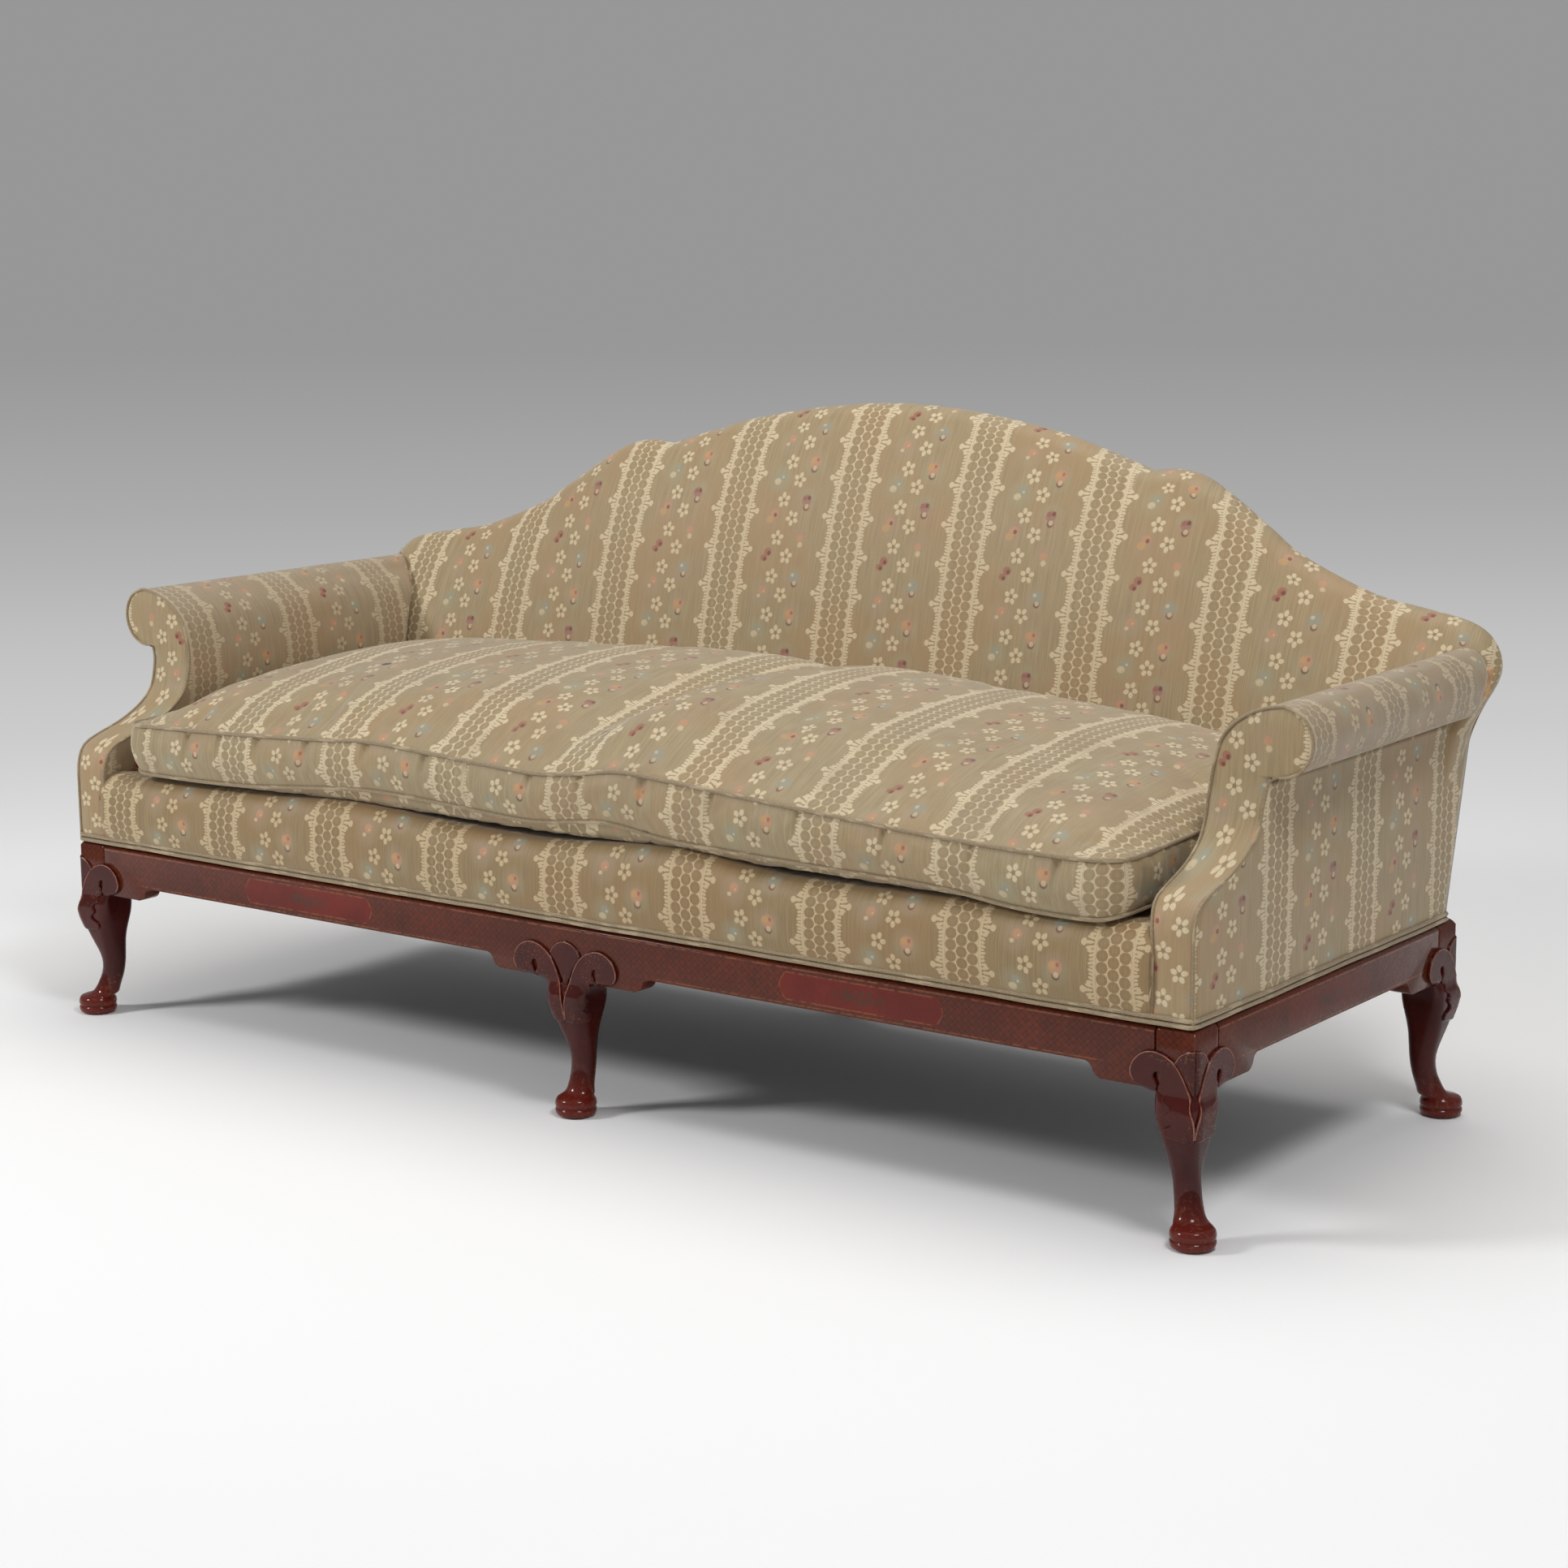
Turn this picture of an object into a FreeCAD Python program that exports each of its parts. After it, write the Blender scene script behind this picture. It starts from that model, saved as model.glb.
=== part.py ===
import FreeCAD, Part
import math
import os

# Cabriole sofa: a humped-back settee with scrolled arms and one long loose seat cushion, on a lacquered
# wooden base with six cabriole legs. Millimetres, +Z up, +X to the sitter's left, -Y towards the room.
# Everything is laid out from the front plane of the upholstery (y = 0) and the middle of the sofa (x = 0),
# and moved at the end so that the origin lies on the floor under the middle of the whole sofa.

V = FreeCAD.Vector
os.makedirs("parts", exist_ok=True)

# Overall sizes of the upholstered body and of the base
BODY_WIDTH = 2052.0
BODY_DEPTH = 739.0
BASE_TOP = 288.0
SEAT_RISE = 120.0
ARM_RISE = 268.0
CREST_RISE = 299.0
RAIL_HEIGHT = 62.0
RAIL_THICK = 32.0
RAIL_PROUD = 6.0
LEDGE = 6.0
BRACKET_DROP = 21.0
BRACKET_REACH = 151.0
CORNER_REACH = 132.0

# Legs
POST_SIZE = 60.0
FOOT_RADIUS = 30.6
FOOT_HEIGHT = 33.0
FOOT_SET_IN = 3.0
FOOT_Y = 10.0
ANKLE_RADIUS = 18.0
ANKLE_HEIGHT = 82.0
KNEE_DROP = 33.0
MIDDLE_TENON = 20.0
CARVING_THICK = 10.0
CARVING_SKIN = 5.0
CARVING_DROP = 28.0

# Beech seat frame behind the lacquered rails
BEARER_THICK = 30.0
BEARER_RISE = 6.0
TENON_LENGTH = 30.0
TENON_THICK = 10.0
TENON_MARGIN = 10.0
CROSS_RAIL_WIDTH = 40.0
CROSS_RAIL_HEIGHT = 26.0
BLOCK_LEG = 80.0
BLOCK_HEIGHT = 40.0
SCREW_RADIUS = 2.2
SCREW_LENGTH = 52.0
SCREW_STAGGER = 9.0

# Webbing, springs and platform
WEB_WIDTH = 50.0
WEB_THICK = 2.0
WEB_BANDS = 5
SPRING_WIRE = 1.9
SPRING_RADIUS = 38.0
SPRING_TURNS = 4
SPRING_COLUMNS = 9
SPRING_ROWS = (0.23, 0.485, 0.74)
EDGE_SPRING_RADIUS = 26.0
EDGE_SPRING_TURNS = 3
EDGE_SPRING_COUNT = 10
EDGE_WIRE_RADIUS = 2.5
HESSIAN = 1.5
DECK_PAD = 10.0
CLOTH = 1.5
BORDER_BULGE = 16.0
BORDER_SET_OUT = 4.0
SHELF_DEPTH = 70.0
ROLL_DEPTH = 8.0

# Arms
ARM_BASE_WIDTH = 59.0
ARM_SWELL = 22.0
FACING_SETBACK = 178.0
SCROLL_RADIUS = 46.0
SCROLL_OUT = 21.0
SCROLL_NOTCH = 8.0
ARM_WADDING = 6.0
POST_DEPTH = 55.0
ARM_RAIL_WIDTH = 60.0
ARM_RAIL_HEIGHT = 36.0
ARM_RAIL_INSET = 14.0
STAY_RAIL_RISE = 27.0
STAY_RAIL_SIZE = 26.0

# Back
CUSP_DROP = 83.0
CUSP_SHARE = 0.453
BACK_THICK = 72.0
BACK_LEDGE = 24.0
FRONT_SLOPE = 0.20
REAR_SLOPE = 0.25
BAND_DEPTH = 52.0
STILE_THICK = 28.0
STILE_WIDTH = 72.0
CREST_RAIL_DEPTH = 70.0
CREST_RAIL_INSET = 14.0
MUNTIN_WIDTH = 45.0
STAY_RISE = 22.0
STAY_HEIGHT = 60.0

# Loose cushion
CUSHION_SIDE_GAP = 52.0
CUSHION_SHIFT = 12.0
CUSHION_FRONT = -15.0
CUSHION_BACK_GAP = 11.0
CUSHION_GAP = 0.3
CUSHION_EDGE = 92.0
CUSHION_WELT_LOW = 18.0
CUSHION_HEIGHT = 192.0
CUSHION_CORNER = 48.0
DRAWN_IN = 6.0
WELT_RADIUS = 2.4
WELT_GAP = 0.1

# Levels and planes that follow from the sizes above
HALF = BODY_WIDTH / 2
DECK_TOP = BASE_TOP + SEAT_RISE
ARM_TOP = DECK_TOP + ARM_RISE
CREST_TOP = ARM_TOP + CREST_RISE
CUSP_Z = CREST_TOP - CUSP_DROP
CUSP_X = HALF * CUSP_SHARE
BACK_REAR_Y = BODY_DEPTH - BACK_LEDGE
BACK_FRONT_Y = BACK_REAR_Y - BACK_THICK
RAIL_BOTTOM = BASE_TOP - RAIL_HEIGHT
BRACKET_BOTTOM = RAIL_BOTTOM - BRACKET_DROP
KNEE_HEIGHT = BRACKET_BOTTOM - KNEE_DROP
CARVING_TOP = BASE_TOP - CARVING_DROP
FRONT_FACE = -RAIL_PROUD
REAR_FACE = BODY_DEPTH + RAIL_PROUD
SIDE_FACE = HALF + RAIL_PROUD
FRONT_BACK_OF_RAIL = FRONT_FACE + RAIL_THICK
REAR_BACK_OF_RAIL = REAR_FACE - RAIL_THICK
SIDE_BACK_OF_RAIL = SIDE_FACE - RAIL_THICK
POST_X = SIDE_FACE - POST_SIZE
POST_FRONT = FRONT_FACE + POST_SIZE
POST_REAR = REAR_FACE - POST_SIZE
BEARER_BOTTOM = RAIL_BOTTOM + BEARER_RISE
BEARER_FRONT = FRONT_BACK_OF_RAIL + BEARER_THICK
BEARER_REAR = REAR_BACK_OF_RAIL - BEARER_THICK
BEARER_SIDE = SIDE_BACK_OF_RAIL - BEARER_THICK
LOWER_WEB = BEARER_BOTTOM - 2 * WEB_THICK
SPRING_PITCH = 2 * POST_X / (SPRING_COLUMNS + 0.72)
CROSS_RAIL_X = 2.4 * SPRING_PITCH
HESSIAN_TOP = DECK_TOP - DECK_PAD - CLOTH
SPRING_TOP = HESSIAN_TOP - HESSIAN
EDGE_SPRING_Y = ROLL_DEPTH + 2 * EDGE_WIRE_RADIUS + SPRING_WIRE + EDGE_SPRING_RADIUS + 3.0
LOW = BASE_TOP - 20.0
HIGH = CREST_TOP + 25.0
SCROLL_X = HALF + SCROLL_OUT
SCROLL_Z = ARM_TOP - SCROLL_RADIUS
NOTCH_X = SCROLL_X - SCROLL_NOTCH
NOTCH_Z = SCROLL_Z - (SCROLL_RADIUS ** 2 - SCROLL_NOTCH ** 2) ** 0.5
ARM_INNER = HALF - ARM_BASE_WIDTH
CUSHION_HALF = ARM_INNER - CUSHION_SIDE_GAP
CUSHION_REAR = BACK_FRONT_Y + FRONT_SLOPE * SEAT_RISE - CUSHION_BACK_GAP
CUSHION_BOTTOM = DECK_TOP + CUSHION_GAP
CUSHION_WELT_TOP = DECK_TOP + CUSHION_EDGE
CUSHION_WELT_BOTTOM = DECK_TOP + CUSHION_WELT_LOW
CUSHION_CROWN = DECK_TOP + CUSHION_HEIGHT


def box(x0, x1, y0, y1, z0, z1):
    return Part.makeBox(x1 - x0, y1 - y0, z1 - z0, V(x0, y0, z0))


def both(shape):
    """The shape and its mirror image on the other side of the sofa."""
    return [shape, mirrored(shape)]


def mirrored(shape):
    return shape.mirror(V(0, 0, 0), V(1, 0, 0))


def joined(shapes):
    whole = shapes[0].fuse(shapes[1:]) if len(shapes) > 1 else shapes[0]
    return whole.removeSplitter()


def outline(points, place):
    """A closed wire. Each entry is a corner, or a pair (point on the arc, its end)."""
    edges = []
    here = points[0]
    for entry in points[1:]:
        if isinstance(entry[0], tuple):
            edges.append(Part.Arc(place(*here), place(*entry[0]), place(*entry[1])).toShape())
            here = entry[1]
        else:
            edges.append(Part.LineSegment(place(*here), place(*entry)).toShape())
            here = entry
    if here != points[0]:
        edges.append(Part.LineSegment(place(*here), place(*points[0])).toShape())
    return Part.Wire(edges)


def front_plane(x, z):
    return V(x, 0, z)


def side_plane(y, z):
    return V(0, y, z)


def floor_plane(x, y):
    return V(x, y, 0)


def along_y(wire, y0, y1):
    solid = Part.Face(wire).extrude(V(0, y1 - y0, 0))
    solid.translate(V(0, y0, 0))
    return solid


def along_x(wire, x0, x1):
    solid = Part.Face(wire).extrude(V(x1 - x0, 0, 0))
    solid.translate(V(x0, 0, 0))
    return solid


def along_z(wire, z0, z1):
    solid = Part.Face(wire).extrude(V(0, 0, z1 - z0))
    solid.translate(V(0, 0, z0))
    return solid


def front_of_back(z):
    """Where the padded front of the back stands at height z."""
    return BACK_FRONT_Y + FRONT_SLOPE * (z - BASE_TOP)


def rear_of_back(z):
    return BACK_REAR_Y + REAR_SLOPE * (z - BASE_TOP)


def leaning_slab(front, front_shift, rear, rear_shift, x0=-2 * HALF, x1=2 * HALF):
    """The space between two leaning planes, each a function of height, moved by its shift."""
    corners = [
        (front(LOW) + front_shift, LOW),
        (rear(LOW) + rear_shift, LOW),
        (rear(HIGH) + rear_shift, HIGH),
        (front(HIGH) + front_shift, HIGH),
    ]
    return along_x(outline(corners, side_plane), x0, x1)


def far_front(z):
    return -4 * FOOT_RADIUS


# Lacquered base

def rail_outline(ends, middle_leg):
    """Front elevation of a long rail: straight below, dropping in an ogee cusp to a bracket at each leg."""
    def cusp(x, way):
        """The bracket's edge, from the rail's underside at x to the bracket's own underside."""
        up = RAIL_BOTTOM
        down = BRACKET_BOTTOM
        half = (up + down) / 2
        return [
            ((x + way * 6.5, up - 3.0), (x + way * 11.0, half)),
            ((x + way * 17.0, down + 3.0), (x + way * 30.0, down)),
        ]

    def cusp_back(x, way):
        up = RAIL_BOTTOM
        down = BRACKET_BOTTOM
        half = (up + down) / 2
        return [
            (x + way * 30.0, down),
            ((x + way * 17.0, down + 3.0), (x + way * 11.0, half)),
            ((x + way * 6.5, up - 3.0), (x, up)),
        ]

    corner = ends + POST_SIZE / 2 - CORNER_REACH
    points = [(-ends, BASE_TOP), (-ends, BRACKET_BOTTOM)]
    points += cusp_back(-corner, -1)
    if middle_leg:
        points.append((-BRACKET_REACH, RAIL_BOTTOM))
        points += cusp(-BRACKET_REACH, 1)
        points += cusp_back(BRACKET_REACH, -1)
    points.append((corner, RAIL_BOTTOM))
    points += cusp(corner, 1)
    points += [(ends, BRACKET_BOTTOM), (ends, BASE_TOP)]
    return points


def tenon(x0, x1, face):
    """A rail's tenon, in the frame of a rail that runs along X with its outer face at y = face."""
    inner = face + RAIL_THICK / 2
    return box(
        x0, x1, inner - TENON_THICK / 2, inner + TENON_THICK / 2,
        BRACKET_BOTTOM + TENON_MARGIN, BASE_TOP - TENON_MARGIN,
    )


def long_rail(ends, middle_leg):
    """A rail along X, outer face towards -Y, with the small slope that leads up to the cloth."""
    rail = along_y(outline(rail_outline(ends, middle_leg), front_plane), FRONT_FACE, FRONT_BACK_OF_RAIL)
    slope = [(FRONT_FACE - 1, BASE_TOP - LEDGE - 1), (FRONT_FACE - 1, BASE_TOP + 1), (1.0, BASE_TOP + 1)]
    rail = rail.cut(along_x(outline(slope, side_plane), -ends, ends))
    tenons = [
        tenon(ends, ends + TENON_LENGTH, FRONT_FACE),
        tenon(-ends - TENON_LENGTH, -ends, FRONT_FACE),
    ]
    return joined([rail] + tenons)


def turned_to_rear(shape):
    """From the front of the base to its rear."""
    return shape.mirror(V(0, BODY_DEPTH / 2, 0), V(0, 1, 0))


def side_rail():
    """The side rail, made like a short long rail and stood at the side."""
    half_length = (POST_REAR - POST_FRONT) / 2
    rail = long_rail(half_length, False)
    rail.rotate(V(0, 0, 0), V(0, 0, 1), 90)
    rail.translate(V(SIDE_FACE + FRONT_FACE, (POST_FRONT + POST_REAR) / 2, 0))
    return rail


def rounded_square(x, y, z, half, corner):
    """A level square with round corners, the section of a leg."""
    flat = half - corner
    bow = corner * (1 - math.sqrt(0.5))
    points = [
        (x - flat, y - half), (x + flat, y - half),
        ((x + half - bow, y - half + bow), (x + half, y - flat)), (x + half, y + flat),
        ((x + half - bow, y + half - bow), (x + flat, y + half)), (x - flat, y + half),
        ((x - half + bow, y + half - bow), (x - half, y + flat)), (x - half, y - flat),
        ((x - half + bow, y - half + bow), (x - flat, y - half)),
    ]
    return outline(points, lambda a, b: V(a, b, z))


def pad_foot(x, y):
    """A round pad on a thin disc, turned about an upright axis."""
    ring = FOOT_HEIGHT * 0.40
    points = [
        (0, 0), (FOOT_RADIUS - 8, 0),
        ((FOOT_RADIUS - 2.5, 2.5), (FOOT_RADIUS, 8)),
        (FOOT_RADIUS - 0.5, ring - 1.5), (FOOT_RADIUS - 2.5, ring), (FOOT_RADIUS - 0.5, ring + 1.5),
        ((FOOT_RADIUS - 0.3, ring + 10), (FOOT_RADIUS - 5, FOOT_HEIGHT - 3)),
        (FOOT_RADIUS - 10, FOOT_HEIGHT), (0, FOOT_HEIGHT),
    ]
    foot = Part.Face(outline(points, front_plane)).revolve(V(0, 0, 0), V(0, 0, 1), 360)
    foot.translate(V(x, y, 0))
    return foot


def shank(sections):
    """The S-shaped leg from its foot to its knee, through level sections (x, y, z, half, corner)."""
    return Part.makeLoft([rounded_square(*s) for s in sections], True, False)


def corner_foot():
    return HALF - FOOT_SET_IN, FOOT_Y


def corner_sections(grow):
    """Level sections of the front right leg, whose knee and foot point out along the corner's diagonal."""
    foot_x, foot_y = corner_foot()
    x = POST_X + POST_SIZE / 2
    y = FRONT_FACE + POST_SIZE / 2
    return [
        (foot_x - 8, foot_y + 8, FOOT_HEIGHT - 6, 20.5 + grow, 20.0 + grow),
        (foot_x - 15, foot_y + 14, FOOT_HEIGHT + 17, 18.5 + grow, 18.0 + grow),
        (foot_x - 22, foot_y + 21, ANKLE_HEIGHT, ANKLE_RADIUS + grow, ANKLE_RADIUS - 0.8 + grow),
        (foot_x - 21, foot_y + 19, ANKLE_HEIGHT + 32, 22.5 + grow, 18.0 + grow),
        (x - 0.5, y + 0.5, KNEE_HEIGHT - 26, 28.0 + grow, 16.0 + grow),
        (x + 4, y - 4, KNEE_HEIGHT, POST_SIZE / 2 + 3 + grow, 12.0 + grow),
        (x + 2.5, y - 2.5, BRACKET_BOTTOM, POST_SIZE / 2 + 2.5 + grow, 9.0 + grow),
    ]


def middle_sections(grow):
    """Level sections of the leg under the middle of the rail, whose knee and foot point straight out."""
    foot_y = corner_foot()[1]
    y = FRONT_FACE + POST_SIZE / 2
    return [
        (0, foot_y + 9, FOOT_HEIGHT - 6, 20.5 + grow, 20.0 + grow),
        (0, foot_y + 16, FOOT_HEIGHT + 17, 18.5 + grow, 18.0 + grow),
        (0, foot_y + 23, ANKLE_HEIGHT, ANKLE_RADIUS + grow, ANKLE_RADIUS - 0.8 + grow),
        (0, foot_y + 20, ANKLE_HEIGHT + 32, 22.5 + grow, 18.0 + grow),
        (0, y + 0.5, KNEE_HEIGHT - 26, 28.0 + grow, 16.0 + grow),
        (0, y - 4, KNEE_HEIGHT, POST_SIZE / 2 + 3 + grow, 12.0 + grow),
        (0, y - 2.5, BRACKET_BOTTOM, POST_SIZE / 2 + 2.5 + grow, 9.0 + grow),
    ]


def corner_leg():
    """The front right leg with the square post that takes the tenons of both rails."""
    leg = joined([shank(corner_sections(0)), pad_foot(*corner_foot())])
    post = box(POST_X, SIDE_FACE, FRONT_FACE, POST_FRONT, BRACKET_BOTTOM, BASE_TOP)
    slope = [(FRONT_FACE - 1, BASE_TOP - LEDGE - 1), (FRONT_FACE - 1, BASE_TOP + 1), (1.0, BASE_TOP + 1)]
    post = post.cut(along_x(outline(slope, side_plane), POST_X, SIDE_FACE + 1))
    side_slope = [
        (SIDE_FACE + 1, BASE_TOP - LEDGE - 1), (SIDE_FACE + 1, BASE_TOP + 1), (HALF - 1.0, BASE_TOP + 1),
    ]
    post = post.cut(along_y(outline(side_slope, front_plane), FRONT_FACE - 1, POST_FRONT + 1))
    leg = joined([leg, post])
    front_mortise = tenon(POST_X, POST_X + TENON_LENGTH, FRONT_FACE)
    side_mortise = side_rail_tenon_hole()
    return leg.cut(front_mortise).cut(side_mortise)


def side_rail_tenon_hole():
    inner = SIDE_FACE - RAIL_THICK / 2
    return box(
        inner - TENON_THICK / 2, inner + TENON_THICK / 2, POST_FRONT - TENON_LENGTH, POST_FRONT,
        BRACKET_BOTTOM + TENON_MARGIN, BASE_TOP - TENON_MARGIN,
    )


def middle_leg():
    """The leg under the middle of the front rail. A tongue of it stands behind the rail."""
    tongue = box(
        -POST_SIZE / 2, POST_SIZE / 2, FRONT_BACK_OF_RAIL, FRONT_BACK_OF_RAIL + MIDDLE_TENON,
        BRACKET_BOTTOM, BASE_TOP,
    )
    return joined([shank(middle_sections(0)), pad_foot(0, corner_foot()[1]), tongue])


def knee_shield(x):
    """The leaves' pointed lower part, which lies on the knee and hangs down from the bracket at x."""
    top = BRACKET_BOTTOM
    return [
        (x - 46.0, top), ((x - 44.0, top - 16.0), (x - 33.0, top - 27.0)),
        ((x - 46.0, top - 36.0), (x - 36.0, top - 52.0)), ((x - 16.0, top - 54.0), (x, top - 62.0)),
        ((x + 16.0, top - 54.0), (x + 36.0, top - 52.0)), ((x + 46.0, top - 36.0), (x + 33.0, top - 27.0)),
        ((x + 44.0, top - 16.0), (x + 46.0, top)),
    ]


def middle_carving():
    """The pair of leaves and the fan petal between them, on the face of the front rail."""
    reach = 95.0
    points = [(-30.0, BRACKET_BOTTOM), (-reach * 0.76, BRACKET_BOTTOM)]
    points.append(((-reach * 0.95, BRACKET_BOTTOM + 4.0), (-reach, CARVING_TOP - 37.0)))
    points.append(((-reach * 0.66, CARVING_TOP - 6.0), (-31.0, CARVING_TOP - 19.0)))
    points.append(((0.0, CARVING_TOP), (31.0, CARVING_TOP - 19.0)))
    points.append(((reach * 0.66, CARVING_TOP - 6.0), (reach, CARVING_TOP - 37.0)))
    points.append(((reach * 0.95, BRACKET_BOTTOM + 4.0), (reach * 0.76, BRACKET_BOTTOM)))
    plate = along_y(outline(points, front_plane), FRONT_FACE - CARVING_THICK, FRONT_FACE)
    shield = along_y(outline(knee_shield(0.0), front_plane), -3 * POST_SIZE, FRONT_FACE + POST_SIZE / 2)
    shield = shank(middle_sections(CARVING_SKIN)).common(shield).cut(shank(middle_sections(0)))
    return joined([plate, shield])


def corner_carving():
    """The leaf on the front face of the right corner and its twin on the side face, mitred at the corner."""
    reach = 92.0
    centre = POST_X + POST_SIZE / 2 - 6.0
    edge = SIDE_FACE + CARVING_THICK
    points = [(centre - reach * 0.76, BRACKET_BOTTOM)]
    points.append(((centre - reach * 0.95, BRACKET_BOTTOM + 4.0), (centre - reach, CARVING_TOP - 37.0)))
    points.append(((centre - reach * 0.62, CARVING_TOP - 6.0), (centre - 4.0, CARVING_TOP - 19.0)))
    points.append(((centre + 20.0, CARVING_TOP - 2.0), (edge, CARVING_TOP)))
    points.append((edge, BRACKET_BOTTOM))
    face_leaf = along_y(outline(points, front_plane), FRONT_FACE - CARVING_THICK, FRONT_FACE)
    side_leaf = face_leaf.mirror(V(SIDE_FACE, FRONT_FACE, 0), V(1, 1, 0))
    shield = along_y(outline(knee_shield(0.0), front_plane), -3 * POST_SIZE, 0)
    shield.rotate(V(0, 0, 0), V(0, 0, 1), 45)
    shield.translate(V(POST_X + POST_SIZE / 2, FRONT_FACE + POST_SIZE / 2, 0))
    shield = shank(corner_sections(CARVING_SKIN)).common(shield).cut(shank(corner_sections(0)))
    return joined([face_leaf, side_leaf, shield])


# Beech seat frame

def front_bearer():
    bearer = box(-BEARER_SIDE, BEARER_SIDE, FRONT_BACK_OF_RAIL, BEARER_FRONT, BEARER_BOTTOM, BASE_TOP)
    housing = box(
        -POST_SIZE / 2, POST_SIZE / 2, FRONT_BACK_OF_RAIL, FRONT_BACK_OF_RAIL + MIDDLE_TENON,
        BEARER_BOTTOM, BASE_TOP,
    )
    right_post = box(POST_X, HALF, FRONT_FACE, POST_FRONT, BEARER_BOTTOM, BASE_TOP)
    left_post = box(-HALF, -POST_X, FRONT_FACE, POST_FRONT, BEARER_BOTTOM, BASE_TOP)
    return bearer.cut(housing).cut(right_post).cut(left_post)


def side_bearer():
    return box(BEARER_SIDE, SIDE_BACK_OF_RAIL, POST_FRONT, POST_REAR, BEARER_BOTTOM, BASE_TOP)


def cross_rail():
    return box(
        CROSS_RAIL_X - CROSS_RAIL_WIDTH / 2, CROSS_RAIL_X + CROSS_RAIL_WIDTH / 2,
        BEARER_FRONT, BEARER_REAR, BEARER_BOTTOM, BEARER_BOTTOM + CROSS_RAIL_HEIGHT,
    )


def block_screw(along_front):
    """A countersunk screw through a corner block into the bearer."""
    offset = BLOCK_LEG * 0.45
    z = (BEARER_BOTTOM + BASE_TOP) / 2 + (SCREW_STAGGER if along_front else -SCREW_STAGGER)
    run = BLOCK_LEG - offset
    if along_front:
        start = V(BEARER_SIDE - offset, BEARER_FRONT + run, z)
        way = V(0, -1, 0)
    else:
        start = V(BEARER_SIDE - run, BEARER_FRONT + offset, z)
        way = V(1, 0, 0)
    shaft = Part.makeCylinder(SCREW_RADIUS, SCREW_LENGTH, start, way)
    head = Part.makeCone(2 * SCREW_RADIUS, SCREW_RADIUS, 3.0, start, way)
    return joined([shaft, head])


def corner_block():
    """A glue block across the inner corner of the seat frame."""
    z0 = (BEARER_BOTTOM + BASE_TOP - BLOCK_HEIGHT) / 2
    points = [
        (BEARER_SIDE, BEARER_FRONT), (BEARER_SIDE - BLOCK_LEG, BEARER_FRONT),
        (BEARER_SIDE, BEARER_FRONT + BLOCK_LEG),
    ]
    block = along_z(outline(points, floor_plane), z0, z0 + BLOCK_HEIGHT)
    post = box(POST_X, SIDE_FACE, FRONT_FACE, POST_FRONT, BRACKET_BOTTOM, BASE_TOP)
    return block.cut(post)


# Springing

def webbing_lengthwise():
    """Jute bands under the seat frame from side to side, below the crosswise ones."""
    bands = []
    first = BEARER_FRONT + 40.0
    step = (BEARER_REAR - 40.0 - WEB_WIDTH - first) / (WEB_BANDS - 1)
    reach = SIDE_BACK_OF_RAIL - 2
    for i in range(WEB_BANDS):
        y = first + i * step
        bands.append(box(-reach, reach, y, y + WEB_WIDTH, LOWER_WEB, LOWER_WEB + WEB_THICK))
    return bands


def webbing_crosswise():
    """Jute bands from front to back under each row of springs. The middle one ends at the middle legs."""
    bands = []
    for i in range(SPRING_COLUMNS):
        x = (i - (SPRING_COLUMNS - 1) / 2) * SPRING_PITCH
        trim = MIDDLE_TENON + 1 if abs(x) < POST_SIZE / 2 + WEB_WIDTH / 2 else 2
        bands.append(box(
            x - WEB_WIDTH / 2, x + WEB_WIDTH / 2, FRONT_BACK_OF_RAIL + trim, REAR_BACK_OF_RAIL - trim,
            LOWER_WEB + WEB_THICK, BEARER_BOTTOM,
        ))
    return bands


def coil(radius, height, turns):
    """A coil spring on z = 0: half rings that lean one after the other and run smoothly on."""
    climb = (height - 2 * SPRING_WIRE) / turns / 2
    rings = []
    for i in range(2 * turns):
        side = 1 if i % 2 == 0 else -1
        start = V(side * radius, 0, SPRING_WIRE + i * climb)
        centre = V(0, 0, SPRING_WIRE + (i + 0.5) * climb)
        axis = (start - centre).cross(V(0, side, 0))
        wire = Part.Face(Part.Wire(Part.makeCircle(SPRING_WIRE, start, V(0, 1, 0))))
        rings.append(wire.revolve(centre, axis, 180))
    return joined(rings)


def seat_springs():
    one = coil(SPRING_RADIUS, SPRING_TOP - BEARER_BOTTOM, SPRING_TURNS)
    springs = []
    for i in range(SPRING_COLUMNS):
        for share in SPRING_ROWS:
            copy = one.copy()
            y = BEARER_FRONT + share * (BEARER_REAR - BEARER_FRONT)
            copy.translate(V((i - (SPRING_COLUMNS - 1) / 2) * SPRING_PITCH, y, BEARER_BOTTOM))
            springs.append(copy)
    return springs


def edge_springs():
    one = coil(EDGE_SPRING_RADIUS, SPRING_TOP - BASE_TOP, EDGE_SPRING_TURNS)
    springs = []
    for i in range(EDGE_SPRING_COUNT):
        copy = one.copy()
        copy.translate(V((i - (EDGE_SPRING_COUNT - 1) / 2) * SPRING_PITCH, EDGE_SPRING_Y, BASE_TOP))
        springs.append(copy)
    return springs


# Arms

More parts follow.
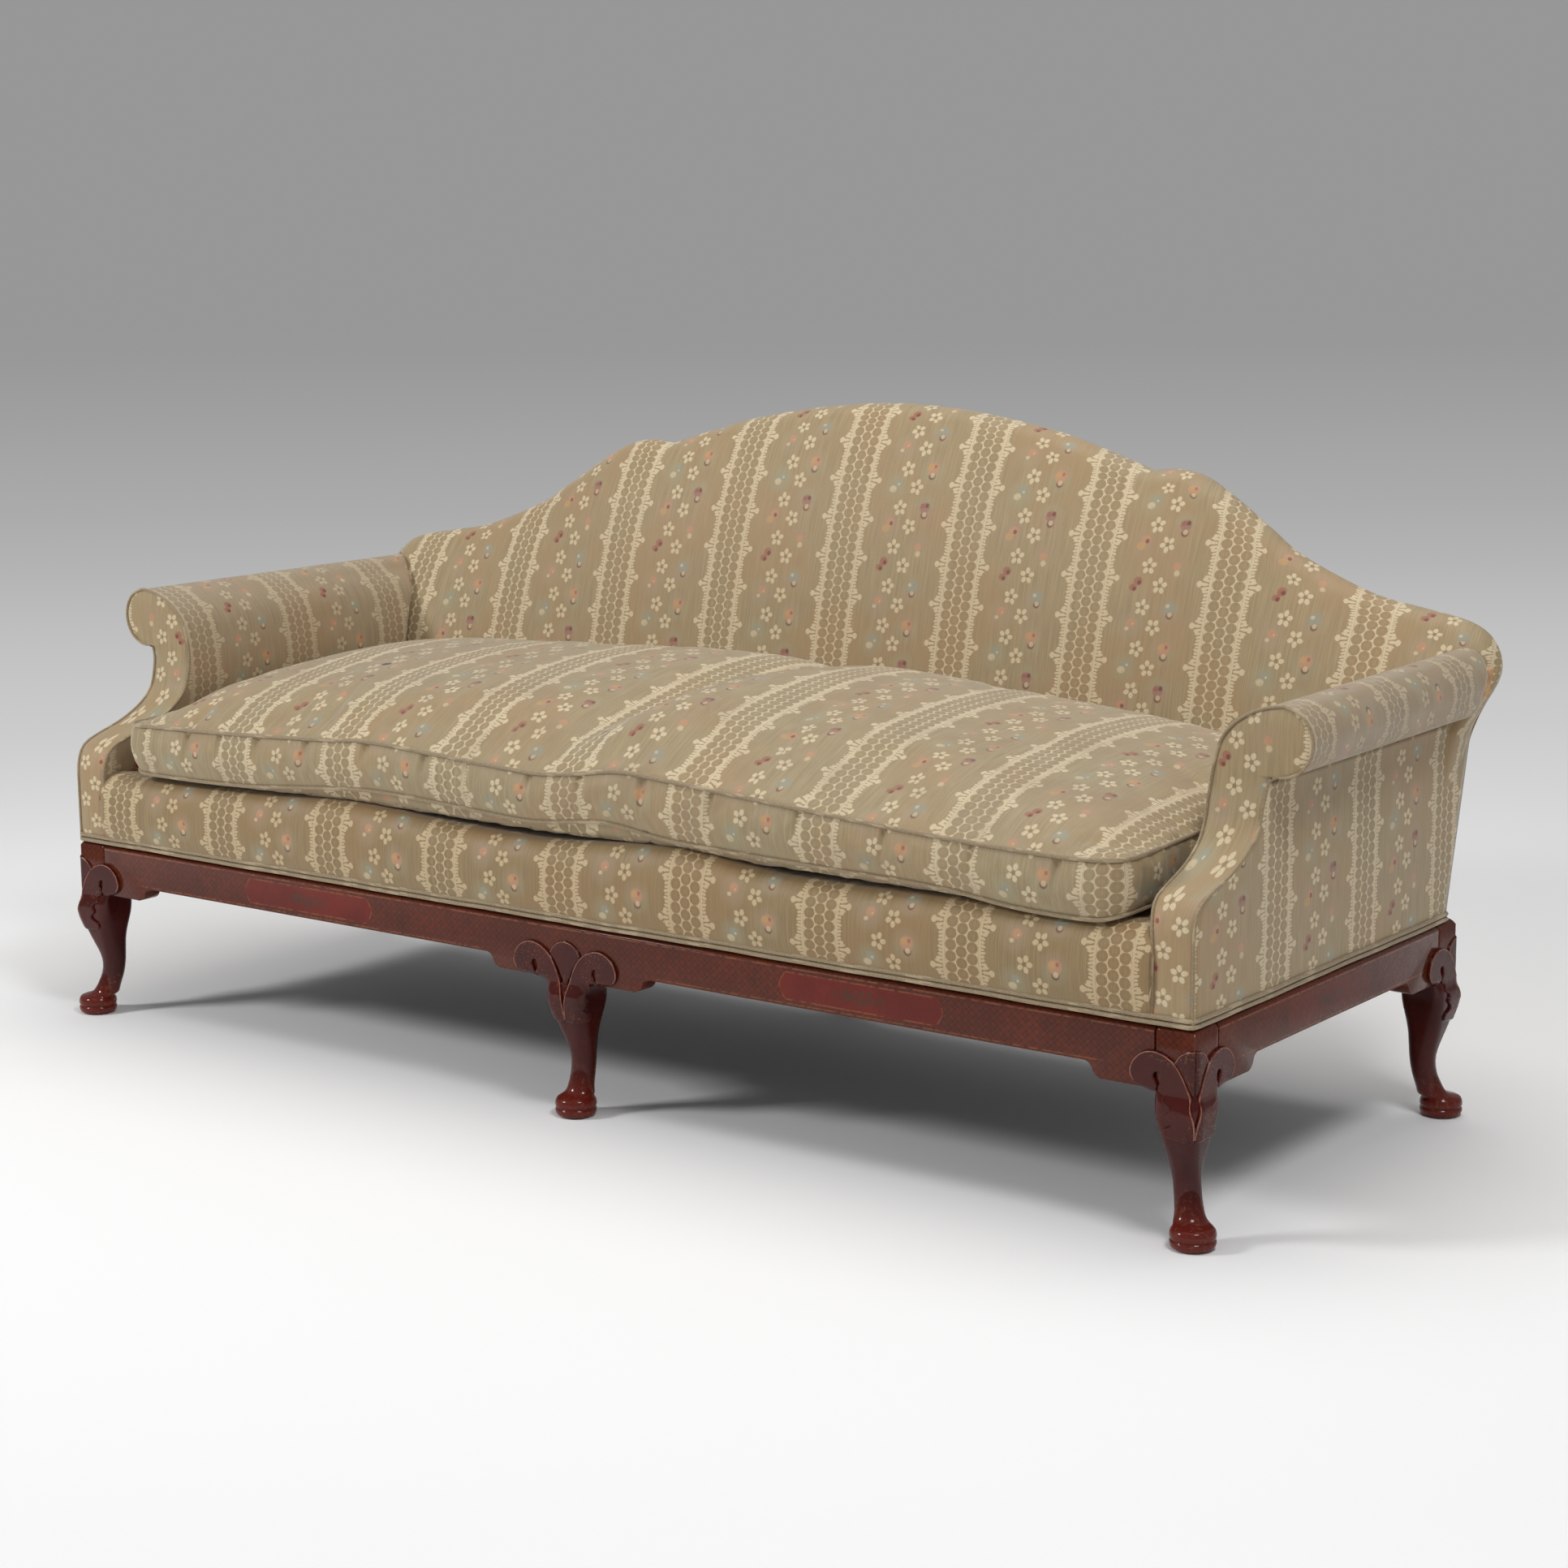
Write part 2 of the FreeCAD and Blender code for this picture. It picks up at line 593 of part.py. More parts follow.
def arm_wire(inset):
    """Front elevation of the right arm, from the base to its outward scroll."""
    x = ARM_INNER
    points = [
        (x, LOW), (x, DECK_TOP - 8.0),
        ((x - 0.6 * ARM_SWELL, DECK_TOP + 70.0), (x - ARM_SWELL, ARM_TOP - 124.0)),
        ((x - 0.64 * ARM_SWELL, ARM_TOP - 70.0), (x + 13.0, ARM_TOP - 28.0)),
        ((x + 43.0, ARM_TOP - 8.0), (SCROLL_X, ARM_TOP)),
        ((SCROLL_X + SCROLL_RADIUS, SCROLL_Z), (NOTCH_X, NOTCH_Z)),
        (HALF + 5.0, NOTCH_Z - 18.0), (HALF, NOTCH_Z - 38.0), (HALF, LOW),
    ]
    wire = outline(points, front_plane)
    return wire.makeOffset2D(-inset, join=0) if inset else wire


def facing_side(back, drop):
    """Side elevation of the arm's front: the S that sets the arm's upper part back from the seat's front."""
    y = -BORDER_SET_OUT + back
    z = DECK_TOP - drop
    reach = FACING_SETBACK
    base = LOW - 60.0 - drop
    return [
        (y, base), (y, z + 4.0),
        ((y + 0.045 * reach, z + 28.0), (y + 0.19 * reach, z + 46.0)),
        (y + 0.534 * reach, z + 65.0),
        ((y + 0.837 * reach, z + 94.0), (y + 0.989 * reach, z + 152.0)),
        (y + reach, HIGH), (3 * BODY_DEPTH, HIGH), (3 * BODY_DEPTH, base),
    ]


def behind_facing(step):
    """All that lies behind the arm's front, moved inwards by step."""
    return along_x(outline(facing_side(step, step), side_plane), 0, 2 * HALF)


def arm_zone(rear_shift=0.0):
    """The space between the front and the padded back, above the base."""
    zone = leaning_slab(far_front, 0, front_of_back, rear_shift, 0, 2 * HALF)
    return zone.common(box(0, 2 * HALF, -400, 2 * BODY_DEPTH, BASE_TOP, HIGH))


def arm_body(inset, step):
    arm = along_y(arm_wire(inset), -60, BODY_DEPTH + 200)
    return arm.common(behind_facing(step)).common(arm_zone())


def arm_parts():
    """The right arm's cloth, padding and wood."""
    whole = arm_body(0, 0)
    dressed = arm_body(0, CLOTH)
    core = arm_body(CLOTH, CLOTH)
    facing = whole.cut(behind_facing(CLOTH))
    skin = dressed.cut(core)
    outside = box(HALF - 2 * CLOTH, NOTCH_X, -60, 2 * BODY_DEPTH, BASE_TOP, NOTCH_Z)
    outside_cover = skin.common(outside)
    inside_cover = skin.cut(outside)
    wood_shape = along_y(arm_wire(CLOTH + ARM_WADDING), -60, 2 * BODY_DEPTH).common(arm_zone())
    post = wood_shape.common(behind_facing(CLOTH + ARM_WADDING)).cut(behind_facing(POST_DEPTH))
    post = post.common(box(0, 2 * HALF, -60, 2 * BODY_DEPTH, BASE_TOP, ARM_TOP))
    frame_front = leaning_slab(far_front, 0, rear_of_back, -CLOTH - STILE_THICK, 0, 2 * HALF)
    behind_post = behind_facing(POST_DEPTH)
    rail_z = SCROLL_Z - ARM_RAIL_HEIGHT / 2
    rail_x = SCROLL_X - ARM_RAIL_WIDTH / 2 - ARM_RAIL_INSET
    top_rail = box(rail_x, rail_x + ARM_RAIL_WIDTH, 0, 2 * BODY_DEPTH, rail_z, rail_z + ARM_RAIL_HEIGHT)
    top_rail = top_rail.common(behind_post).common(frame_front)
    stay_x = HALF - CLOTH - ARM_WADDING - STAY_RAIL_SIZE
    stay_z = DECK_TOP + STAY_RAIL_RISE
    stay = box(stay_x, stay_x + STAY_RAIL_SIZE, 0, 2 * BODY_DEPTH, stay_z, stay_z + STAY_RAIL_SIZE)
    stay = stay.common(behind_post).common(frame_front)
    stuffing = core.cut(post).cut(top_rail).cut(stay)
    return {
        "facing": facing, "inside_cover": inside_cover, "outside_cover": outside_cover,
        "post": post, "top_rail": top_rail, "stay": stay, "stuffing": stuffing, "whole": whole,
    }


# Back

def back_wire(inset):
    """Front elevation of the back: one broad arch, a cusp, a shoulder and a hollow down to each arm."""
    radius = (CUSP_X ** 2 + CUSP_DROP ** 2) / (2 * CUSP_DROP)
    arch_x = CUSP_X / 2
    arch_z = CREST_TOP - (radius - math.sqrt(radius ** 2 - arch_x ** 2))
    end = HALF - 41.0
    run = end - CUSP_X
    side_z = NOTCH_Z - 38.0
    half = [
        ((arch_x, arch_z), (CUSP_X, CUSP_Z)),
        ((CUSP_X + 0.115 * run, CUSP_Z + 3.0), (CUSP_X + 0.269 * run, CUSP_Z - 32.0)),
        ((CUSP_X + 0.519 * run, CUSP_Z - 112.0), (end, ARM_TOP + 38.0)),
        ((end + 65.0, ARM_TOP + 10.0), (end + 85.0, ARM_TOP - 36.0)),
        ((end + 77.0, ARM_TOP - 71.0), (end + 58.0, ARM_TOP - 91.0)),
        (HALF, side_z), (HALF, LOW),
    ]
    left = [(-HALF, LOW), (-HALF, side_z), (-(end + 58.0), ARM_TOP - 91.0)]
    for entry, before in zip(half[4:0:-1], half[3::-1]):
        left.append(((-entry[0][0], entry[0][1]), (-before[1][0], before[1][1])))
    left.append(((-arch_x, arch_z), (0.0, CREST_TOP)))
    wire = outline([(0.0, CREST_TOP)] + half + left, front_plane)
    return wire.makeOffset2D(-inset, join=0) if inset else wire


def back_prism(inset):
    prism = along_y(back_wire(inset), 0, 2 * BODY_DEPTH)
    return prism.common(box(-2 * HALF, 2 * HALF, 0, 2 * BODY_DEPTH, BASE_TOP, HIGH))


def back_parts(arm_rails):
    """The back's cloth, padding, webbing and wood. The arm rails run through the padding to the stiles."""
    whole = back_prism(0).common(leaning_slab(front_of_back, 0, rear_of_back, 0))
    core = back_prism(CLOTH).common(leaning_slab(front_of_back, CLOTH, rear_of_back, -CLOTH))
    skin = whole.cut(core)
    seam = leaning_slab(front_of_back, 0, front_of_back, BAND_DEPTH)
    inside_cover = skin.common(seam)
    outside_cover = skin.cut(seam)
    frame_layer = leaning_slab(rear_of_back, -CLOTH - STILE_THICK, rear_of_back, -CLOTH)
    board = core.common(frame_layer)
    board_front = -CLOTH - STILE_THICK
    web_layer = leaning_slab(rear_of_back, board_front - WEB_THICK, rear_of_back, board_front)
    padding_zone = leaning_slab(front_of_back, 0, rear_of_back, board_front)
    stile_inner = HALF - CREST_RAIL_INSET - STILE_WIDTH
    crest_band = back_prism(CREST_RAIL_INSET).cut(back_prism(CREST_RAIL_INSET + CREST_RAIL_DEPTH))
    crest_band = crest_band.common(box(-stile_inner, stile_inner, 0, 2 * BODY_DEPTH, ARM_TOP - 120, HIGH))
    crest = board.common(crest_band)
    stile_box = box(stile_inner, stile_inner + STILE_WIDTH, 0, 2 * BODY_DEPTH, BASE_TOP, ARM_TOP)
    stile = board.common(stile_box)
    stay_z = DECK_TOP + STAY_RISE
    stay_box = box(-stile_inner, stile_inner, 0, 2 * BODY_DEPTH, stay_z, stay_z + STAY_HEIGHT)
    stay = board.common(stay_box)
    muntins = []
    for x in (-0.39 * HALF, 0.0, 0.39 * HALF):
        reach = MUNTIN_WIDTH / 2
        column = box(x - reach, x + reach, 0, 2 * BODY_DEPTH, stay_z + STAY_HEIGHT, HIGH)
        muntins.append(board.common(column).common(back_prism(CREST_RAIL_INSET + CREST_RAIL_DEPTH)))
    web = []
    web_region = web_layer.common(back_prism(CREST_RAIL_INSET + 0.3 * CREST_RAIL_DEPTH))
    for share in (-0.70, -0.546, -0.234, -0.117, 0.117, 0.234, 0.546, 0.70):
        x = share * HALF
        column = box(x - WEB_WIDTH / 2, x + WEB_WIDTH / 2, 0, 2 * BODY_DEPTH, stay_z + 8, HIGH)
        web.append(web_region.common(column))
    padding = core.common(padding_zone)
    for piece in web:
        padding = padding.cut(piece)
    for rail in arm_rails:
        padding = padding.cut(rail)
        inside_cover = inside_cover.cut(rail)
    return {
        "whole": whole, "inside_cover": inside_cover, "outside_cover": outside_cover, "padding": padding,
        "crest": crest, "stiles": both(stile), "stay": stay, "muntins": muntins, "web": web,
    }


# Seat platform and its rolled front edge

def border_outline(skin):
    """Side elevation of the sprung front edge, moved inwards by skin."""
    out = -BORDER_BULGE + skin
    foot = -BORDER_SET_OUT + skin
    return [
        (foot, BASE_TOP), (foot, BASE_TOP + 18.0),
        ((out, (BASE_TOP + DECK_TOP) / 2), (out, DECK_TOP - 18.0)),
        ((out + 7.0, DECK_TOP - 4.0 - skin), (out + 20.0, DECK_TOP - skin)), (SHELF_DEPTH, DECK_TOP - skin),
        (SHELF_DEPTH, HESSIAN_TOP), (ROLL_DEPTH + 2, HESSIAN_TOP), (ROLL_DEPTH, SPRING_TOP),
        (ROLL_DEPTH, BASE_TOP),
    ]


def border_parts(sides):
    whole = along_x(outline(border_outline(0), side_plane), -ARM_INNER, ARM_INNER)
    inner = along_x(outline(border_outline(CLOTH), side_plane), -ARM_INNER, ARM_INNER)
    cover = whole.cut(inner)
    stuffing = inner
    for side in sides:
        cover = cover.cut(side)
        stuffing = stuffing.cut(side)
    return cover, stuffing


def edge_wire():
    """The stiff wire tied to the top of the edge springs."""
    y = EDGE_SPRING_Y - EDGE_SPRING_RADIUS - SPRING_WIRE - EDGE_WIRE_RADIUS
    reach = EDGE_SPRING_COUNT / 2 * SPRING_PITCH - SPRING_PITCH / 2 + EDGE_SPRING_RADIUS
    start = V(-reach, y, SPRING_TOP - EDGE_WIRE_RADIUS)
    return Part.makeCylinder(EDGE_WIRE_RADIUS, 2 * reach, start, V(1, 0, 0))


def platform_layer(z0, z1, y0, sides):
    layer = box(-HALF, HALF, y0, BODY_DEPTH, z0, z1)
    for side in sides:
        layer = layer.cut(side)
    return max(layer.Solids, key=lambda s: s.Volume)


# Welts

def welt_loop(points, place, radius):
    """A closed cord of cloth round an outline."""
    wire = outline(points, place)
    start = wire.Edges[0].valueAt(wire.Edges[0].FirstParameter)
    way = wire.Edges[0].tangentAt(wire.Edges[0].FirstParameter)
    section = Part.Wire(Part.makeCircle(radius, start, way))
    return wire.makePipeShell([section], True, True)


def base_welts():
    """The double welt that runs round the foot of the upholstery."""
    loops = []
    for level in (BASE_TOP + WELT_RADIUS + 1.4, BASE_TOP + 3 * WELT_RADIUS + 3.8):
        grow = WELT_RADIUS + WELT_GAP
        radius = grow + 0.5
        side = HALF + grow
        front = -BORDER_SET_OUT - grow
        rear = rear_of_back(level + WELT_RADIUS) + grow
        bow = radius * (1 - math.sqrt(0.5))
        points = [
            (0.0, front), (side - radius, front),
            ((side - bow, front + bow), (side, front + radius)), (side, rear - radius),
            ((side - bow, rear - bow), (side - radius, rear)), (-side + radius, rear),
            ((-side + bow, rear - bow), (-side, rear - radius)), (-side, front + radius),
            ((-side + bow, front + bow), (-side + radius, front)),
        ]
        loops.append(welt_loop(points, lambda a, b, z=level: V(a, b, z), WELT_RADIUS))
    return loops


def facing_welt():
    """The welt up the outer edge of an arm's front, round the scroll and down its inner edge."""
    wire = arm_wire(-WELT_RADIUS - WELT_GAP)
    path = along_y(wire, -60, BODY_DEPTH).common(behind_facing(-WELT_RADIUS)).cut(behind_facing(WELT_RADIUS))
    ring = path.cut(along_y(arm_wire(0), -80, 2 * BODY_DEPTH))
    return ring.common(box(0, 2 * HALF, -100, BODY_DEPTH, BASE_TOP + 20, HIGH))


def scroll_welt():
    """The welt along the seam under an arm's scroll."""
    z = SCROLL_Z - SCROLL_RADIUS - WELT_RADIUS - WELT_GAP
    x = NOTCH_X + WELT_RADIUS
    front = FACING_SETBACK + 6.0
    return Part.makeCylinder(WELT_RADIUS, front_of_back(z) - 3.0 - front, V(x, front, z), V(0, 1, 0))


# Cushion

def cushion_plan(grow):
    """The cushion's plan, (x, y) corners and arcs that run smoothly into one another."""
    half_x = CUSHION_HALF + grow
    half_y = (CUSHION_REAR - CUSHION_FRONT) / 2 + grow
    c = CUSHION_CORNER + grow
    lean_x = 2 * math.atan(DRAWN_IN / (half_x - c))
    lean_y = 2 * math.atan(DRAWN_IN / (half_y - c))
    end_x = half_x - c - c * math.sin(lean_x)
    end_y = half_y - c - c * math.sin(lean_y)
    far_x = half_x - c + c * math.cos(lean_y)
    far_y = half_y - c + c * math.cos(lean_x)
    waist_x = far_x - end_y * math.tan(lean_y / 2)
    waist_y = far_y - end_x * math.tan(lean_x / 2)
    turn = math.pi / 4 + (lean_y - lean_x) / 2
    corner = (half_x - c + c * math.cos(turn), half_y - c + c * math.sin(turn))
    return [
        (-end_x, -far_y), ((0.0, -waist_y), (end_x, -far_y)),
        ((corner[0], -corner[1]), (far_x, -end_y)), ((waist_x, 0.0), (far_x, end_y)),
        (corner, (end_x, far_y)), ((0.0, waist_y), (-end_x, far_y)),
        ((-corner[0], corner[1]), (-far_x, end_y)), ((-waist_x, 0.0), (-far_x, -end_y)),
        ((-corner[0], -corner[1]), (-end_x, -far_y)),
    ]


def cushion_place(x, y):
    """A point of the cushion's plan, measured from the cushion's middle."""
    return V(x + CUSHION_SHIFT, y + (CUSHION_REAR + CUSHION_FRONT) / 2, 0)


def cushion_body(inset):
    """A long box cushion with a crown, whose sides are drawn in between its corners."""
    left = CUSHION_SHIFT - CUSHION_HALF + inset
    right = CUSHION_SHIFT + CUSHION_HALF - inset
    front = CUSHION_FRONT + inset
    rear = CUSHION_REAR - inset
    low = CUSHION_BOTTOM + inset
    top = CUSHION_CROWN - inset
    edge = CUSHION_WELT_TOP - inset
    depth = rear - front
    side_view = [
        (front - 9, low), (front - 9, edge - 3),
        ((front + 0.25 * depth, top - 24), (front + 0.6 * depth, top)),
        ((front + 0.85 * depth, top - 24), (rear + 9, edge + 22)), (rear + 9, low),
    ]
    front_view = [
        (left - 9, low), (left - 9, edge - 4), ((left + 130, top - 26), (left + 330, top)),
        (right - 330, top), ((right - 130, top - 26), (right + 9, edge - 4)), (right + 9, low),
    ]
    solid = along_z(outline(cushion_plan(-inset), cushion_place), low, HIGH)
    solid = solid.common(along_x(outline(side_view, side_plane), left - 20, right + 20))
    return solid.common(along_y(outline(front_view, front_plane), front - 20, rear + 20))


def cushion_welt(level):
    points = cushion_plan(WELT_RADIUS + WELT_GAP)
    return welt_loop(points, lambda x, y: cushion_place(x, y) + V(0, 0, level), WELT_RADIUS)


def dust_cover():
    """Black cloth that closes the underside, cut round the legs."""
    sheet = box(-SIDE_BACK_OF_RAIL, SIDE_BACK_OF_RAIL, FRONT_BACK_OF_RAIL, REAR_BACK_OF_RAIL,
                LOWER_WEB - CLOTH, LOWER_WEB)
    for x0, x1 in ((POST_X, HALF), (-HALF, -POST_X), (-POST_SIZE / 2, POST_SIZE / 2)):
        sheet = sheet.cut(box(x0, x1, 0, POST_FRONT, 0, HIGH))
        sheet = sheet.cut(box(x0, x1, POST_REAR, BODY_DEPTH, 0, HIGH))
    return sheet


def main():
    parts = {}
    front_rail = long_rail(POST_X, True)
    parts["front_rail"] = [front_rail]
    parts["rear_rail"] = [turned_to_rear(front_rail)]
    parts["right_side_rail"] = [side_rail()]
    parts["left_side_rail"] = [mirrored(side_rail())]

    leg = corner_leg()
    centre_leg = middle_leg()
    parts["front_right_leg"] = [leg]
    parts["front_left_leg"] = [mirrored(leg)]
    parts["rear_right_leg"] = [turned_to_rear(leg)]
    parts["rear_left_leg"] = [turned_to_rear(mirrored(leg))]
    parts["front_middle_leg"] = [centre_leg]
    parts["rear_middle_leg"] = [turned_to_rear(centre_leg)]
    carvings = both(corner_carving()) + [middle_carving()]
    parts["front_knee_carvings"] = carvings
    parts["rear_knee_carvings"] = [turned_to_rear(c) for c in carvings]

    block = corner_block()
    screws = [block_screw(True), block_screw(False)]
    bearer = front_bearer()
    side = side_bearer()
    for screw in screws:
        for one in (screw, mirrored(screw)):
            bearer = bearer.cut(one)
        for one in (screw, turned_to_rear(screw)):
            side = side.cut(one)
        block = block.cut(screw)
    parts["front_seat_bearer"] = [bearer]
    parts["rear_seat_bearer"] = [turned_to_rear(bearer)]
    parts["side_seat_bearers"] = both(side)
    parts["seat_cross_rails"] = both(cross_rail())
    parts["corner_blocks"] = both(block) + both(turned_to_rear(block))
    parts["corner_block_screws"] = [
        s for screw in screws for s in both(screw) + both(turned_to_rear(screw))
    ]

    parts["seat_webbing_lengthwise"] = webbing_lengthwise()
    parts["seat_webbing_crosswise"] = webbing_crosswise()
    parts["seat_springs"] = seat_springs()
    parts["edge_springs"] = edge_springs()
    parts["edge_wire"] = [edge_wire()]

    arm = arm_parts()
    back = back_parts(both(arm["top_rail"]) + both(arm["stay"]))
    sides = both(arm["whole"]) + [back["whole"]]
    for name, key in (
        ("arm_facing", "facing"), ("arm_cover", "inside_cover"), ("outside_arm_cover", "outside_cover"),
        ("arm_post", "post"), ("arm_stuffing", "stuffing"),
    ):
        parts["right_" + name] = [arm[key]]
        parts["left_" + name] = [mirrored(arm[key])]
    parts["arm_top_rails"] = both(arm["top_rail"])
    parts["arm_stay_rails"] = both(arm["stay"])
    parts["inside_back_cover"] = [back["inside_cover"]]
    parts["outside_back_cover"] = [back["outside_cover"]]
    parts["back_stuffing"] = [back["padding"]]
    parts["crest_rail"] = [back["crest"]]
    parts["back_stiles"] = back["stiles"]
    parts["back_stay_rail"] = [back["stay"]]
    parts["back_muntins"] = back["muntins"]
    parts["back_webbing"] = back["web"]

    border_cover, border_stuffing = border_parts(sides + both(facing_welt()))
    parts["front_border_cover"] = [border_cover]
    parts["front_border_stuffing"] = [border_stuffing]
    parts["spring_hessian"] = [platform_layer(SPRING_TOP, HESSIAN_TOP, ROLL_DEPTH + 2, sides)]
    parts["deck_stuffing"] = [platform_layer(HESSIAN_TOP, DECK_TOP - CLOTH, SHELF_DEPTH, sides)]
    parts["deck_cover"] = [platform_layer(DECK_TOP - CLOTH, DECK_TOP, SHELF_DEPTH, sides)]
    parts["dust_cover"] = [dust_cover()]

    parts["base_welts"] = base_welts()
    parts["facing_welts"] = both(facing_welt())
    parts["scroll_welts"] = both(scroll_welt())

    cushion = cushion_body(0)
    filling = cushion_body(CLOTH)
    parts["cushion_filling"] = [filling]
    parts["cushion_cover"] = [cushion.cut(filling)]
    parts["cushion_welts"] = [cushion_welt(CUSHION_WELT_TOP - 12), cushion_welt(CUSHION_WELT_BOTTOM)]

    front_most = min(s.optimalBoundingBox(False).YMin for group in parts.values() for s in group)
    rear_most = max(s.optimalBoundingBox(False).YMax for group in parts.values() for s in group)
    middle = (front_most + rear_most) / 2
    print("front", round(front_most, 3), "rear", round(rear_most, 3), "origin at y", round(middle, 3))
    for name, group in sorted(parts.items()):
        solids = [s for shape in group for s in shape.Solids]
        bad = [s for s in solids if not s.isValid() or s.Volume <= 0]
        print(name, len(solids), "solids", round(sum(s.Volume for s in solids) / 1e6, 4), "litres",
              "INVALID" if bad or not solids else "")
        shape = Part.makeCompound(solids) if len(solids) > 1 else solids[0]
        shape.translate(V(0, -middle, 0))
        shape.exportStep("parts/" + name + ".step")


main()
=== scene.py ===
# %% [markdown]
# # A camel-back sofa on japanned cabriole legs
# Two trades made the real sofa: a joiner made the red lacquered base, and an
# upholsterer built springs, stuffing and silk brocade on a beech frame.
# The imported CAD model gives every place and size. Here each visible piece is
# modelled or dressed again, in metres, in the same frame.

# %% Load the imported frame
import math

import bmesh
import bpy
import numpy as np
from mathutils import Matrix, Vector
from mathutils.kdtree import KDTree


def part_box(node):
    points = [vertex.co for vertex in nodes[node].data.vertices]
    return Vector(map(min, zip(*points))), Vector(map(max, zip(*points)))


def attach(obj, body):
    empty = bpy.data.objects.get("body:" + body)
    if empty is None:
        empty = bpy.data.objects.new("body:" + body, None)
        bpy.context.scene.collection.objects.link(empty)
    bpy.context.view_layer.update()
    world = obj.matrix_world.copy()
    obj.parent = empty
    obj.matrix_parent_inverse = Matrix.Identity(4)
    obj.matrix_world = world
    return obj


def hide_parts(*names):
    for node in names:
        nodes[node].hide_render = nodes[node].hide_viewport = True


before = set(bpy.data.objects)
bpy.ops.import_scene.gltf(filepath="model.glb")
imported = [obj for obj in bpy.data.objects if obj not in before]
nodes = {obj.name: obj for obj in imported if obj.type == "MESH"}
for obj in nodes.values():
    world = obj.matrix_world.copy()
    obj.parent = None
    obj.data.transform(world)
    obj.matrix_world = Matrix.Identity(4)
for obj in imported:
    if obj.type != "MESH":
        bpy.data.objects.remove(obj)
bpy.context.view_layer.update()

scene = bpy.context.scene

# %% [markdown]
# Sizes below are in millimetres from the plane of the front cloth, because
# that is how they were taken from the photograph. FRONT is that plane in the
# frame, and place() turns such a size into metres.

# %% Millimetres to metres
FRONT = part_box("front_rail")[0].y + 0.006
HALF_WIDTH = 1.026
BASE_TOP, CLOTH_FOOT = 288.0, 292


def place(points):
    """Points in millimetres from the front plane, as metres in the frame."""
    out = np.array(points, float) * 0.001
    out[..., 1] += FRONT
    return out


print("the front plane is at y =", round(FRONT, 4))

# %% [markdown]
# ## Camera and studio
# The camera stands at the right of the sofa and looks down on it a little,
# with a long lens, as a catalogue photographer would place it.

# %% Camera
yaw, pitch, roll = math.radians(-36.72), math.radians(10.9), math.radians(-0.5)
look = Vector((math.sin(yaw) * math.cos(pitch), math.cos(yaw) * math.cos(pitch), -math.sin(pitch)))
level_right = Vector((math.cos(yaw), -math.sin(yaw), 0))
level_up = level_right.cross(look)
right = level_right * math.cos(roll) + level_up * math.sin(roll)
up = level_up * math.cos(roll) - level_right * math.sin(roll)
CAMERA_PLACE = Vector((2.9695, -3.4588 + FRONT, 1.3638))
camera = bpy.data.objects.new("camera", bpy.data.cameras.new("camera"))
camera.data.lens = 74.70
camera.data.sensor_width = 36
camera.data.clip_end = 100
turn = Matrix((right, up, -look)).transposed().to_4x4()
camera.matrix_world = Matrix.Translation(CAMERA_PLACE) @ turn
scene.collection.objects.link(camera)
scene.camera = camera
print("camera at", [round(n, 3) for n in camera.matrix_world.translation])

# %% [markdown]
# A node tree is long to write one node at a time. Wire lets a material's sums
# be written with the usual signs, and each sign adds one Math node.

# %% Short ways to write node sums
class Wire:
    """A number on its way through a node tree."""

    def __init__(self, tree, socket):
        self.tree, self.socket = tree, socket

    def maths(self, kind, *others, swap=False):
        node = self.tree.nodes.new("ShaderNodeMath")
        node.operation = kind
        values = [*others, self] if swap else [self, *others]
        for slot, value in zip(node.inputs, values):
            join(self.tree, value, slot)
        return Wire(self.tree, node.outputs[0])

    def __add__(self, other):
        return self.maths("ADD", other)

    def __radd__(self, other):
        return self.maths("ADD", other)

    def __sub__(self, other):
        return self.maths("SUBTRACT", other)

    def __rsub__(self, other):
        return self.maths("SUBTRACT", other, swap=True)

    def __mul__(self, other):
        return self.maths("MULTIPLY", other)

    def __rmul__(self, other):
        return self.maths("MULTIPLY", other)

    def __truediv__(self, other):
        return self.maths("DIVIDE", other)

    def __abs__(self):
        return self.maths("ABSOLUTE")

    def ramp(self, low, high, start=0.0, end=1.0):
        """Smoothly from start, at low, to end, at high."""
        node = self.tree.nodes.new("ShaderNodeMapRange")
        node.interpolation_type = "SMOOTHSTEP"
        for slot, value in zip(node.inputs, (self, low, high, start, end)):
            join(self.tree, value, slot)
        return Wire(self.tree, node.outputs[0])

    def least(self, other):
        return self.maths("MINIMUM", other)

    def most(self, other):
        return self.maths("MAXIMUM", other)


def join(tree, value, slot):
    """Sets a socket to a plain value, or links it to a wire."""
    if isinstance(value, Wire):
        tree.links.new(value.socket, slot)
    else:
        slot.default_value = value


def paint(red, green, blue):
    """A colour as a screen shows it, 0 to 255, as Blender's linear colour."""
    parts = [c / 255 for c in (red, green, blue)]
    return (*(c / 12.92 if c <= 0.04045 else ((c + 0.055) / 1.055) ** 2.4 for c in parts), 1)


def shade_of(colour, share):
    """A colour made darker or lighter by a share."""
    return paint(*[c * share for c in colour])


def blend_paint(tree, share, under, over):
    """One colour over another, by a share from 0 to 1."""
    node = tree.nodes.new("ShaderNodeMix")
    node.data_type = "RGBA"
    join(tree, share, node.inputs[0])
    join(tree, under, node.inputs[6])
    join(tree, over, node.inputs[7])
    return Wire(tree, node.outputs[2])


def noise(tree, where, scale, detail=2.0, roughness=0.5):
    node = tree.nodes.new("ShaderNodeTexNoise")
    join(tree, where, node.inputs["Vector"])
    node.inputs["Scale"].default_value = scale
    node.inputs["Detail"].default_value = detail
    node.inputs["Roughness"].default_value = roughness
    return Wire(tree, node.outputs["Fac"])


